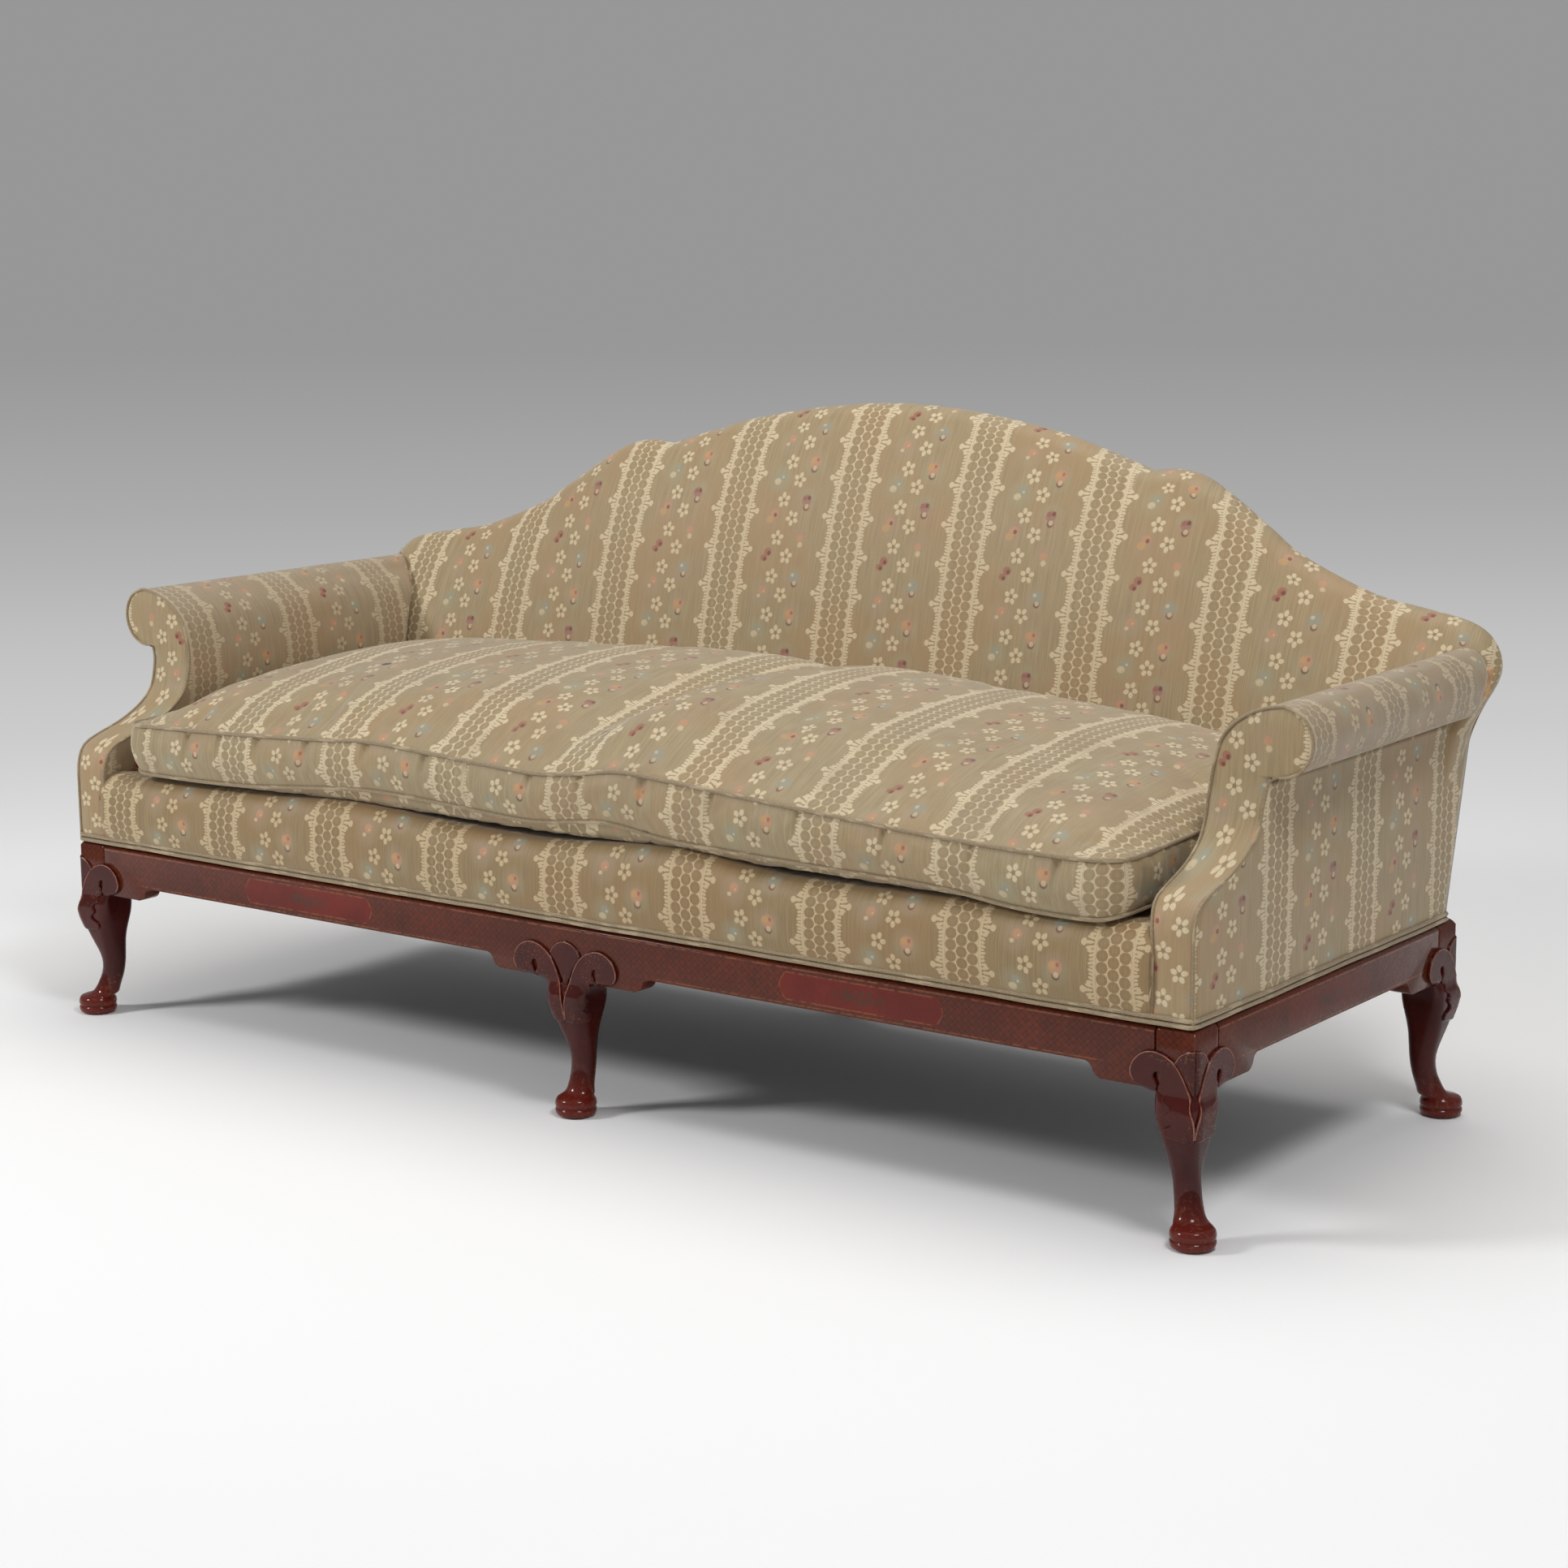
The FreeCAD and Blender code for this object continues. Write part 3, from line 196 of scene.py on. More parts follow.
def combine(tree, x, y, z=0.0):
    node = tree.nodes.new("ShaderNodeCombineXYZ")
    for slot, value in zip(node.inputs, (x, y, z)):
        join(tree, value, slot)
    return Wire(tree, node.outputs[0])


def axes(tree, vector):
    node = tree.nodes.new("ShaderNodeSeparateXYZ")
    join(tree, vector, node.inputs[0])
    return [Wire(tree, out) for out in node.outputs]


print("node helpers ready")

# %% [markdown]
# Every finish starts from one Principled shader. Numbers that are the same
# all over are set straight on its sockets, and only what varies is linked.

# %% A new finish
def new_finish(name, **fixed):
    finish = bpy.data.materials.new(name)
    finish.use_nodes = True
    shader = finish.node_tree.nodes["Principled BSDF"]
    for socket, value in fixed.items():
        shader.inputs[socket.replace("_", " ")].default_value = value
    return finish, finish.node_tree, shader


def place_of(tree, kind="Object"):
    node = tree.nodes.new("ShaderNodeTexCoord")
    return Wire(tree, node.outputs[kind])


def bump(tree, shader, height, depth):
    node = tree.nodes.new("ShaderNodeBump")
    node.inputs["Distance"].default_value = depth
    join(tree, height, node.inputs["Height"])
    tree.links.new(node.outputs[0], shader.inputs["Normal"])


print("finish helper ready")

# %% [markdown]
# The room is a pale sweep that darkens with height behind the sofa. What the
# camera sees of it is partly a glow in a tone that depends on height and
# distance, painted light standing in for the lamps' fall-off, and partly white
# paper that the lamps light, so that the sofa's shadow still shows on it.

# %% Studio floor and backdrop
bpy.ops.object.select_all(action="DESELECT")


def studio_sweep():
    rows = []
    for share in np.linspace(0, 1, 48):
        if share < 0.5:
            rows.append((-9 + 17 * share * 2, 0.0))
        else:
            angle = (share - 0.5) * math.pi
            rows.append((8 + 4 * math.sin(angle), 4 - 4 * math.cos(angle)))
    rows.append((12, 12))
    mesh = bpy.data.meshes.new("studio_sweep")
    points, faces = [], []
    turn_to = Matrix.Rotation(-yaw, 3, "Z")
    for far, high in rows:
        for side in (-14, 14):
            points.append(turn_to @ Vector((side, far, high)) + Vector((0, 0, -0.0005)))
    for k in range(len(rows) - 1):
        faces.append((2 * k, 2 * k + 1, 2 * k + 3, 2 * k + 2))
    mesh.from_pydata([tuple(p) for p in points], [], faces)
    mesh.shade_smooth()
    sweep = bpy.data.objects.new("studio_sweep", mesh)
    scene.collection.objects.link(sweep)
    return sweep


sweep = studio_sweep()
paper, tree, shader = new_finish("studio_paper", Roughness=0.9, Specular_IOR_Level=0.0)
spot = place_of(tree)
east, north, height = axes(tree, spot)
away = east * math.sin(yaw) + north * math.cos(yaw)
far = away + height * 14.0
# The glow's tones are painted light: white near the camera, greyer further off and higher up.
PAINTED_FALLOFF_TONES = [(-1.5, 1.0), (-0.8, 0.99), (0.0, 0.90), (1.1, 0.755), (2.9, 0.60), (6.1, 0.455),
         (8.0, 0.405), (13.0, 0.35), (17.0, 0.315), (19.0, 0.31)]
tone = tree.nodes.new("ShaderNodeValToRGB")
first_tone, tone_span = PAINTED_FALLOFF_TONES[0][0], PAINTED_FALLOFF_TONES[-1][0] - PAINTED_FALLOFF_TONES[0][0]
join(tree, (far - first_tone) / tone_span, tone.inputs[0])
stops = tone.color_ramp.elements
while len(stops) < len(PAINTED_FALLOFF_TONES):
    stops.new(0.5)
for k, (at, level) in enumerate(PAINTED_FALLOFF_TONES):
    stops[k].position = (at - first_tone) / tone_span
    stops[k].color = (level, level, level, 1)
shader.inputs["Base Color"].default_value = (0.95, 0.95, 0.95, 1)
glow = tree.nodes.new("ShaderNodeEmission")
join(tree, Wire(tree, tone.outputs[0]), glow.inputs["Color"])
seen_by = tree.nodes.new("ShaderNodeLightPath")
mixed = tree.nodes.new("ShaderNodeMixShader")
share = far.ramp(0.5, 3.2).most(far.ramp(-1.75, -2.5)) * Wire(tree, seen_by.outputs["Is Camera Ray"])
join(tree, share, mixed.inputs[0])
tree.links.new(shader.outputs[0], mixed.inputs[1])
tree.links.new(glow.outputs[0], mixed.inputs[2])
tree.links.new(mixed.outputs[0], tree.nodes["Material Output"].inputs["Surface"])
sweep.data.materials.append(paper)
print("sweep faces:", len(sweep.data.polygons))

# %% Lamps
def softbox(name, at, target, size, watts):
    lamp = bpy.data.objects.new(name, bpy.data.lights.new(name, "AREA"))
    lamp.data.shape, lamp.data.size = "SQUARE", size
    lamp.data.energy = watts
    lamp.location = at
    lamp.rotation_euler = (Vector(target) - Vector(at)).to_track_quat("-Z", "Y").to_euler()
    scene.collection.objects.link(lamp)
    return lamp


softbox("lamp_right", (2.7, -1.5, 3.9), (0.2, 0, 0.5), 1.1, 62)
softbox("lamp_left", (-3.0, -3.8, 3.2), (0, 0, 0.4), 1.0, 120)
softbox("lamp_above", (0.1, 0.6, 4.0), (0, 0.1, 0.3), 2.8, 58)
world = bpy.data.worlds.new("studio")
scene.world = world
world.use_nodes = True
sky = world.node_tree.nodes["Background"]
sky.inputs["Color"].default_value = (1, 1, 1, 1)
sky.inputs["Strength"].default_value = 0.29
scene.view_settings.view_transform = "Standard"
print("three softboxes and a pale room")

# %% [markdown]
# ## The brocade
# The cover is a silk and cotton brocade: a taupe satin ground with cream lace
# stripes, and between them columns of small blossoms. The stripes repeat
# every 229.5 mm across the cloth. Along it everything repeats every 60.5 mm,
# but the coloured flowers only every fourth time. On a loom each thread has
# its place, so here each motif is drawn from the piece's UV map, which holds
# real metres of cloth: U across the stripes and V along them.

# %% Cloth coordinates
STRIPE = 229.5
CELL = 60.5


def cloth_place(tree):
    uv = tree.nodes.new("ShaderNodeUVMap")
    uv.uv_map = "Cloth"
    across, along, _ = axes(tree, Wire(tree, uv.outputs[0]))
    return across * 1000.0, along * 1000.0


def repeat(value, length):
    """The distance from the nearest multiple of length, and that multiple's number."""
    number = (value / length).maths("ROUND")
    return value - number * length, number


def oval(x, y, cx, cy, rx, ry, soft=0.35):
    """1 inside an oval round (cx, cy), 0 outside it."""
    dx, dy = (x - cx) / rx, (y - cy) / ry
    return (dx * dx + dy * dy).ramp(1.0 + soft, 1.0 - soft)


print("a stripe is", STRIPE, "mm wide and a row of flowers", CELL, "mm high")

# %% [markdown]
# The lace is a net of three columns of round meshes, set like a honeycomb, a
# cord at each side of it, and leaves that stand out from the cords: a long
# one with three lobes at each row, and short ones between.

# %% Lace stripe
COLUMN, MESH_WIDE, MESH_HIGH = 17.0, 9.6, 8.4
NET_EDGE, CORD_AT, LEAF_FOOT = 27.5, 28.6, 30.4


def lace(u, v):
    """How much cream thread there is, and how much dark thread, at a place in the lace."""
    mesh_high = CELL / 4
    side = abs(u)
    outer, _ = repeat(v, mesh_high)
    middle, _ = repeat(v + mesh_high / 2, mesh_high)
    far_out, far_in = (side - COLUMN) / MESH_WIDE, side / MESH_WIDE
    ring_out = (far_out * far_out + (outer / MESH_HIGH) * (outer / MESH_HIGH)).maths("SQRT")
    ring_in = (far_in * far_in + (middle / MESH_HIGH) * (middle / MESH_HIGH)).maths("SQRT")
    ring = ring_out.least(ring_in)
    net = ring.ramp(0.84, 0.97) * side.ramp(NET_EDGE, NET_EDGE - 2.0)
    dark = ring.ramp(0.34, 0.46) * ring.ramp(0.84, 0.66) * side.ramp(27.0, 25.0)
    wave, _ = repeat(v, CELL / 6)
    cord = (abs(side - CORD_AT) - abs(wave) * 0.14).ramp(2.1, 1.1)
    row, _ = repeat(v, CELL)
    high = abs(row)
    leaves = oval(side, high, 39.0, 0.0, 8.5, 2.3)
    slant = high - (side - 31.0) * 0.16
    for at, reach, thick in ((5.2, 8.6, 2.1), (10.4, 6.2, 2.0), (15.6, 4.6, 2.0),
                             (20.6, 4.2, 2.0), (25.4, 5.2, 2.0), (30.2, 4.4, 1.8)):
        leaves = leaves.most(oval(side, slant, LEAF_FOOT + reach * 0.6, at, reach * 0.8, thick))
    lobes = oval(side, high, 46.0, 0.0, 4.4, 4.8).most(oval(side, high, 37.0, 9.0, 3.0, 3.4))
    cream = net.most(cord).most(leaves).most(lobes)
    return cream, dark


print("the lace repeats every", CELL, "mm")

# %% [markdown]
# A blossom has five separate petals round a darker eye. Its angle round the
# eye is folded into one fifth, so one oval draws all five petals.

# %% Blossoms
def blossom(x, y, tilt):
    """Petals and eye of a five-petalled blossom round x = 0, y = 0."""
    angle = y.maths("ARCTAN2", x) + tilt
    reach = (x * x + y * y).maths("SQRT")
    fifth, _ = repeat(angle, 2 * math.pi / 5)
    px = reach * fifth.maths("COSINE")
    py = reach * fifth.maths("SINE")
    petals = oval(px, py, 7.9, 0.0, 4.7, 3.7, 0.45)
    eye = reach.ramp(4.2, 2.0)
    return petals, eye


def choose(tree, number, colours):
    """One of four colours, by a row's number."""
    share = number / 4.0
    share = share - share.maths("FLOOR")
    ramp = tree.nodes.new("ShaderNodeValToRGB")
    ramp.color_ramp.interpolation = "CONSTANT"
    join(tree, share + 0.02, ramp.inputs[0])
    stops = ramp.color_ramp.elements
    while len(stops) < 4:
        stops.new(0.5)
    for k, colour in enumerate(colours):
        stops[k].position = 0.25 * k
        stops[k].color = colour if len(colour) == 4 else paint(*colour)
    return Wire(tree, ramp.outputs[0])


def grey(level):
    return (level, level, level, 1)


print("blossoms have five petals each")

# %% [markdown]
# Each row has two white blossoms and two coloured sprigs. A sprig is a large
# bud, a smaller one under it and a dark shadow between them. What changes
# from row to row is only its colours and sizes, read from short lists.

# %% Coloured sprigs
def sprig(tree, colour, x, y, number, spots):
    """Paints one flank's sprigs over a colour. spots are (centre, radii, colours, strengths)."""
    for (cx, cy), (rx, ry), colours, sizes in spots:
        size = choose(tree, number, [grey(s) for s in sizes])
        mask = oval(x, y, cx, cy, size * (rx * 1.3) + 0.01, size * (ry * 1.3) + 0.01, 0.5)
        mask = mask * size.ramp(0.05, 0.15)
        colour = blend_paint(tree, mask * 0.72, colour, choose(tree, number, colours))
    return colour


PEACH, ORANGE, ROSE = (190, 140, 108), (188, 150, 98), (152, 88, 74)
MAUVE, BLUE, PALE, DARK = (148, 108, 98), (146, 148, 132), (206, 186, 150), (104, 46, 40)
RIGHT_SPRIG = [
    ((29.0, -9.0), (5.2, 5.0), [DARK] * 4, (0.9, 0.8, 0.0, 0.9)),
    ((28.0, 2.5), (8.2, 7.6), [PEACH, BLUE, PEACH, MAUVE], (1.0, 1.0, 0.62, 0.85)),
    ((24.0, 5.0), (4.2, 3.6), [ORANGE, PALE, ORANGE, ROSE], (1.0, 0.6, 0.0, 0.8)),
    ((29.5, -7.6), (3.6, 3.4), [PALE, PALE, PALE, PALE], (0.9, 0.8, 1.0, 0.9)),
    ((32.0, 6.0), (2.6, 2.8), [ROSE, BLUE, ROSE, DARK], (0.8, 0.0, 0.0, 1.0)),
]
LEFT_SPRIG = [
    ((-32.0, 5.0), (5.8, 5.2), [PEACH, ROSE, PEACH, BLUE], (1.0, 0.95, 1.0, 1.0)),
    ((-38.5, -4.5), (5.6, 4.4), [PALE, ROSE, ORANGE, PALE], (0.5, 0.9, 1.0, 0.9)),
    ((-29.5, 3.2), (2.5, 2.6), [PALE, DARK, DARK, PALE], (0.4, 1.0, 1.0, 0.6)),
    ((-36.2, -6.6), (2.4, 2.4), [PALE, DARK, DARK, BLUE], (0.0, 1.0, 0.0, 0.4)),
]
print("sprigs: right", len(RIGHT_SPRIG), "spots, left", len(LEFT_SPRIG), "spots")

# %% The whole cloth
THREAD_COVER, RELIEF = 0.92, 0.0006


def draw_brocade(tree, ground, cream):
    """The brocade's colour and its relief, from the piece's UV map."""
    u, v = cloth_place(tree)
    grain = noise(tree, combine(tree, u * 0.35, v * 0.35), 1.0, 1.0)
    u = u + (grain - 0.5) * 1.6
    v = v + (grain - 0.5) * 1.2
    strie = noise(tree, combine(tree, u * 0.55, v * 0.012), 1.0, 3.0, 0.6)
    cloud = noise(tree, combine(tree, u * 0.006, v * 0.006), 1.0, 2.0)
    colour = blend_paint(tree, strie.ramp(0.36, 0.66), shade_of(ground, 0.93), shade_of(ground, 1.05))
    warm = paint(ground[0] * 1.02, ground[1] * 0.95, ground[2] * 0.9)
    colour = blend_paint(tree, cloud.ramp(0.42, 0.62) * 0.55, colour, warm)
    band, _ = repeat(u, STRIPE)
    zone, _ = repeat(u - STRIPE / 2, STRIPE)
    near, near_row = repeat(v + 7.0, CELL)
    low, low_row = repeat(v + 40.0, CELL)
    halo = oval(zone, near, -34.0, 0.0, 20.0, 20.0, 0.9).most(oval(zone, low, 27.0, 0.0, 20.0, 20.0, 0.9))
    colour = blend_paint(tree, halo * 0.3, colour, choose(tree, near_row, [
        (168, 150, 128), (166, 146, 112), (170, 140, 118), (158, 158, 130)]))
    colour = sprig(tree, colour, zone, low, low_row, RIGHT_SPRIG)
    colour = sprig(tree, colour, zone, near, near_row, LEFT_SPRIG)
    petals_a, eye_a = blossom(zone - 5.0, near, near_row * 0.7 + 0.3)
    petals_b, eye_b = blossom(zone + 18.0, low, low_row * 1.1)
    eyes = eye_a.most(eye_b)
    petals = petals_a.most(petals_b)
    threads, shade = lace(band, v)
    fleck = noise(tree, combine(tree, u * 0.9, v * 0.9), 1.0, 1.0)
    light = blend_paint(tree, fleck.ramp(0.35, 0.65), shade_of(cream, 0.93), paint(*cream))
    dark = paint(ground[0] * 0.78, ground[1] * 0.76, ground[2] * 0.66)
    colour = blend_paint(tree, shade * 0.16, colour, dark)
    colour = blend_paint(tree, eyes * 0.5, colour, dark)
    cover = threads.most(petals)
    pick = (u * 2.6).maths("SINE") * 0.12 + fleck * 0.35 + 0.68
    colour = blend_paint(tree, (cover * THREAD_COVER * pick).least(1.0), colour, light)
    return colour, cover, u, v


def weave_relief(u, v, cover):
    """Fine ribs of the satin, with the raised threads of the pattern on it."""
    rib = (u * 7.4).maths("SINE") * 0.5 + (v * 6.1).maths("SINE") * 0.35
    return rib * 0.06 + cover * 0.5


def new_brocade(name, ground, cream):
    finish, tree, shader = new_finish(
        name, Roughness=0.62, Sheen_Weight=0.35, Sheen_Roughness=0.4, Specular_IOR_Level=0.35)
    colour, cover, u, v = draw_brocade(tree, ground, cream)
    join(tree, colour, shader.inputs["Base Color"])
    join(tree, cover.ramp(0, 1, 0.52, 0.72), shader.inputs["Roughness"])
    bump(tree, shader, weave_relief(u, v, cover), RELIEF)
    return finish


GROUND = (161, 141, 106)
CREAM = (224, 206, 172)
brocade = new_brocade("silk_brocade", GROUND, CREAM)
# The border's brocade is darker and more golden than the rest; the darkness is painted shade, for the
# cushion's overhang above it.
border_brocade_in_painted_shade = new_brocade("silk_brocade_border_painted_shade", (146, 124, 88), (212, 190, 152))
arm_brocade = new_brocade("silk_brocade_arm", (158, 140, 112), (200, 182, 150))
cushion_brocade = new_brocade("silk_brocade_cushion", (160, 142, 108), CREAM)
tree = cushion_brocade.node_tree
shader = tree.nodes["Principled BSDF"]
colour = Wire(tree, shader.inputs["Base Color"].links[0].from_socket)
u, v = cloth_place(tree)
frayed = noise(tree, combine(tree, u * 0.3, v * 0.3), 1.0, 3.0) * 5.0
holes = oval(u + frayed, v + frayed, -574.0, 217.0, 9.0, 7.0, 0.3)
holes = holes.most(oval(u + frayed, v, 6.0, 74.0, 7.0, 2.4, 0.4))
soil = noise(tree, combine(tree, u * 0.012, v * 0.012), 1.0, 3.0, 0.6).ramp(0.45, 0.7)
colour = blend_paint(tree, soil * 0.3, colour, paint(138, 124, 100))
join(tree, blend_paint(tree, holes, colour, paint(44, 38, 34)), shader.inputs["Base Color"])
print("brocade nodes:", len(brocade.node_tree.nodes))

# %% [markdown]
# The welts are the same brocade cut on the bias round a cord, so only short
# slanting bits of the pattern show on them.

# %% Welt cloth
shaded_welt_cloth, tree, shader = new_finish("welt_brocade", Roughness=0.62, Sheen_Weight=0.3)
u, v = cloth_place(tree)
slant = noise(tree, combine(tree, u * 0.02 + v * 0.02, u * 0.01), 1.0, 1.0)
fine = noise(tree, combine(tree, u * 0.4, v * 0.4), 1.0, 2.0)
# The welt cloth's ground is darker and warmer than the brocade's; the darkness is painted shade on the
# cords.
plain = blend_paint(tree, fine.ramp(0.35, 0.65), paint(134, 115, 86), paint(158, 138, 105))
colour = blend_paint(tree, slant.ramp(0.55, 0.62) * 0.45, plain, paint(200, 180, 146))
join(tree, colour, shader.inputs["Base Color"])
bump(tree, shader, ((u + v) * 4.5).maths("SINE") * 0.1 + fine * 0.2, 0.0006)
print("welt cloth nodes:", len(tree.nodes))

# %% [markdown]
# Under the sofa, inside it and behind the loose cushion are the plain cloths
# of the trade: cotton platform cloth, hessian over the springs, black cotton
# that keeps dust in, and jute webbing. Each is a simple weave of two sets of
# threads, so one function draws them all at their own scale.

# %% Plain weaves
def new_weave(name, dark, light, pitch, depth):
    """A plain weave with threads pitch millimetres apart."""
    finish, tree, shader = new_finish(name, Roughness=0.85, Specular_IOR_Level=0.2)
    x, y, z = axes(tree, place_of(tree))
    turns = 2 * math.pi / (pitch * 0.001)
    over = ((x * turns).maths("SINE") * ((y + z) * turns).maths("SINE")) * 0.5 + 0.5
    slub = noise(tree, place_of(tree), 900.0 / pitch, 3.0)
    soil = noise(tree, place_of(tree), 6.0, 3.0)
    colour = blend_paint(tree, over * 0.6 + slub * 0.4, paint(*dark), paint(*light))
    colour = blend_paint(tree, soil.ramp(0.45, 0.7) * 0.3, colour, shade_of(dark, 0.8))
    join(tree, colour, shader.inputs["Base Color"])
    bump(tree, shader, over * 0.6 + slub * 0.4, depth)
    return finish


platform = new_weave("platform_cotton", (140, 126, 98), (170, 156, 126), 1.2, 0.0003)
hessian = new_weave("hessian", (112, 88, 54), (176, 146, 98), 2.2, 0.0006)
black_cotton = new_weave("black_cotton", (16, 15, 15), (38, 36, 35), 0.9, 0.0002)
jute = new_weave("jute_webbing", (120, 92, 54), (186, 150, 98), 2.6, 0.0008)
print("plain weaves:", platform.name, hessian.name, black_cotton.name, jute.name)

# %% Beech, spring steel and screws
beech, tree, shader = new_finish("beech", Roughness=0.55, Specular_IOR_Level=0.4)
where = place_of(tree)
x, y, z = axes(tree, where)
rings = noise(tree, combine(tree, x * 2.0, y * 30.0, z * 30.0), 2.0, 4.0)
flecks = noise(tree, combine(tree, x * 60.0, y * 600.0, z * 600.0), 1.0, 1.0)
colour = blend_paint(tree, rings.ramp(0.3, 0.7), paint(176, 132, 88), paint(206, 166, 120))
colour = blend_paint(tree, flecks.ramp(0.62, 0.7) * 0.5, colour, paint(140, 98, 62))
join(tree, colour, shader.inputs["Base Color"])
bump(tree, shader, rings * 0.5 + flecks * 0.5, 0.0003)

spring_steel, tree, shader = new_finish("coppered_wire", Metallic=1.0, Roughness=0.38)
rust = noise(tree, place_of(tree), 160.0, 4.0)
join(tree, blend_paint(tree, rust.ramp(0.4, 0.68), paint(176, 120, 84), paint(96, 66, 48)),
     shader.inputs["Base Color"])
join(tree, rust.ramp(0.3, 0.7, 0.3, 0.6), shader.inputs["Roughness"])
bump(tree, shader, rust, 0.0002)

screw_steel, tree, shader = new_finish("screw_steel", Metallic=1.0, Roughness=0.35)
dull = noise(tree, place_of(tree), 300.0, 3.0)
join(tree, blend_paint(tree, dull, paint(120, 116, 110), paint(178, 174, 168)), shader.inputs["Base Color"])
join(tree, dull.ramp(0.3, 0.7, 0.25, 0.5), shader.inputs["Roughness"])
print("wood and metal finishes ready")

# %% [markdown]
# ## The japanned finish
# The base is covered in red lacquer, the European copy of Chinese work:
# many coats of coloured varnish, rubbed down, with a diaper of small diamonds,
# brighter reserved panels and sprigs in dark and gold paint. Age has browned
# it and worn the edges. All of it is drawn by place on the wood.

# %% Red lacquer
LEG_RED, RAIL_RED = (72, 20, 14), (97, 40, 22)


def lacquer_base(tree, where, red=LEG_RED):
    """Browned, cloudy red with small chips of wear."""
    cloud = noise(tree, where, 9.0, 4.0, 0.6)
    dirt = noise(tree, where, 45.0, 4.0, 0.6)
    chips = noise(tree, where, 260.0, 3.0, 0.6)
    colour = blend_paint(tree, cloud.ramp(0.32, 0.68), shade_of(red, 0.82), paint(*red))
    colour = blend_paint(tree, dirt.ramp(0.5, 0.75) * 0.45, colour, shade_of(red, 0.6))
    colour = blend_paint(tree, chips.ramp(0.70, 0.76) * 0.4, colour, paint(132, 74, 52))
    return colour, cloud, dirt


def finish_lacquer(tree, shader, colour, where, dirt):
    join(tree, colour, shader.inputs["Base Color"])
    join(tree, dirt.ramp(0.35, 0.75, 0.24, 0.42), shader.inputs["Roughness"])
    ripple = noise(tree, where, 90.0, 3.0, 0.5)
    bump(tree, shader, ripple, 0.0006)


def lacquer_shader(name):
    return new_finish(name, Coat_Weight=0.5, Coat_Roughness=0.09, Specular_IOR_Level=0.03)


GILT = paint(150, 92, 56)


def diaper(tree, a, z, colour):
    """Small diamonds in darker and browner paint, over a colour."""
    diamond_wide, diamond_high = 0.022, 0.020
    first, _ = repeat(a / diamond_wide + z / diamond_high, 1.0)
    second, _ = repeat(a / diamond_wide - z / diamond_high, 1.0)
    inside = abs(first).most(abs(second)).ramp(0.36, 0.24)
    trellis = abs(first).least(abs(second)).ramp(0.07, 0.02)
    colour = blend_paint(tree, inside * 0.5, colour, paint(58, 26, 18))
    return blend_paint(tree, trellis * 0.22, colour, paint(128, 66, 44))


lacquer, tree, shader = lacquer_shader("red_lacquer")
where = place_of(tree)
x, y, z = axes(tree, where)
colour, cloud, dirt = lacquer_base(tree, where)
rail_red, _, _ = lacquer_base(tree, where, RAIL_RED)
rail_red = diaper(tree, x + y, z - 0.256, rail_red)
colour = blend_paint(tree, z.ramp(0.196, 0.214), colour, rail_red)
# Near the floor the feet get flecks of gold and a lighter red: partly worn gilding, partly painted highlight
# on the pads.
gilt_flecks_and_painted_highlight = noise(tree, where, 170.0, 4.0, 0.7).ramp(0.52, 0.68) * z.ramp(0.09, 0.05)
colour = blend_paint(tree, z.ramp(0.07, 0.02) * 0.5, colour, paint(124, 44, 34))
colour = blend_paint(tree, gilt_flecks_and_painted_highlight * 0.4, colour, paint(134, 84, 54))
finish_lacquer(tree, shader, colour, where, dirt)
print("red lacquer nodes:", len(tree.nodes))

# %% [markdown]
# The long rails carry the diaper, and two reserved panels with pointed ends
# and a sprig in each. The panels are laid out from the middle leg, so both
# halves of a rail match.

# %% Painted rails
PANEL_LOW, PANEL_HIGH = 0.2335, 0.2755
LONG_PANEL_AT, LONG_PANEL_HALF = 0.517, 0.136
SIDE_PANEL_AT, SIDE_PANEL_HALF = -0.075, 0.120
UPPER_LINE, LOWER_LINE = 0.2795, 0.2295


def painted_sprig(a, z, size):
    """How much gold there is of a flower with leaves to both sides of it."""
    a, z = a / size, z / size
    bend = (a * 0.9).maths("SINE") * 2.2
    petals, _ = blossom(a * 1.4, (z + 1.0) * 1.4, 0.4)
    second, _ = blossom((abs(a) - 12.0) * 1.9, (z - 2.0) * 1.9, 0.9)
    leaf, _ = repeat(abs(a), 5.0)
    leaves = oval(leaf, z - bend, 0.0, 2.6, 2.3, 1.5).most(oval(leaf, z - bend, 0.6, -2.8, 2.2, 1.4))
    leaves = leaves * abs(a).ramp(30.0, 24.0) * abs(a).ramp(3.0, 7.0)
    stem = abs(z - bend).ramp(0.8, 0.3) * abs(a).ramp(34.0, 28.0)
    return petals.most(second).most(leaves).most(stem)


def panel(a, z, half_long):
    """1 inside a reserved panel with pointed, hollowed ends, and its edge line."""
    middle, half_high = (PANEL_LOW + PANEL_HIGH) / 2, (PANEL_HIGH - PANEL_LOW) / 2
    rise = abs(z - middle) / half_high
    end = half_long - 0.012 * rise.maths("POWER", 1.6)
    inside_long = end - abs(a)
    near = inside_long.least((1.0 - rise) * half_high)
    return near.ramp(0.0, 0.0012), near.ramp(0.0004, 0.0012) * near.ramp(0.0034, 0.0024)


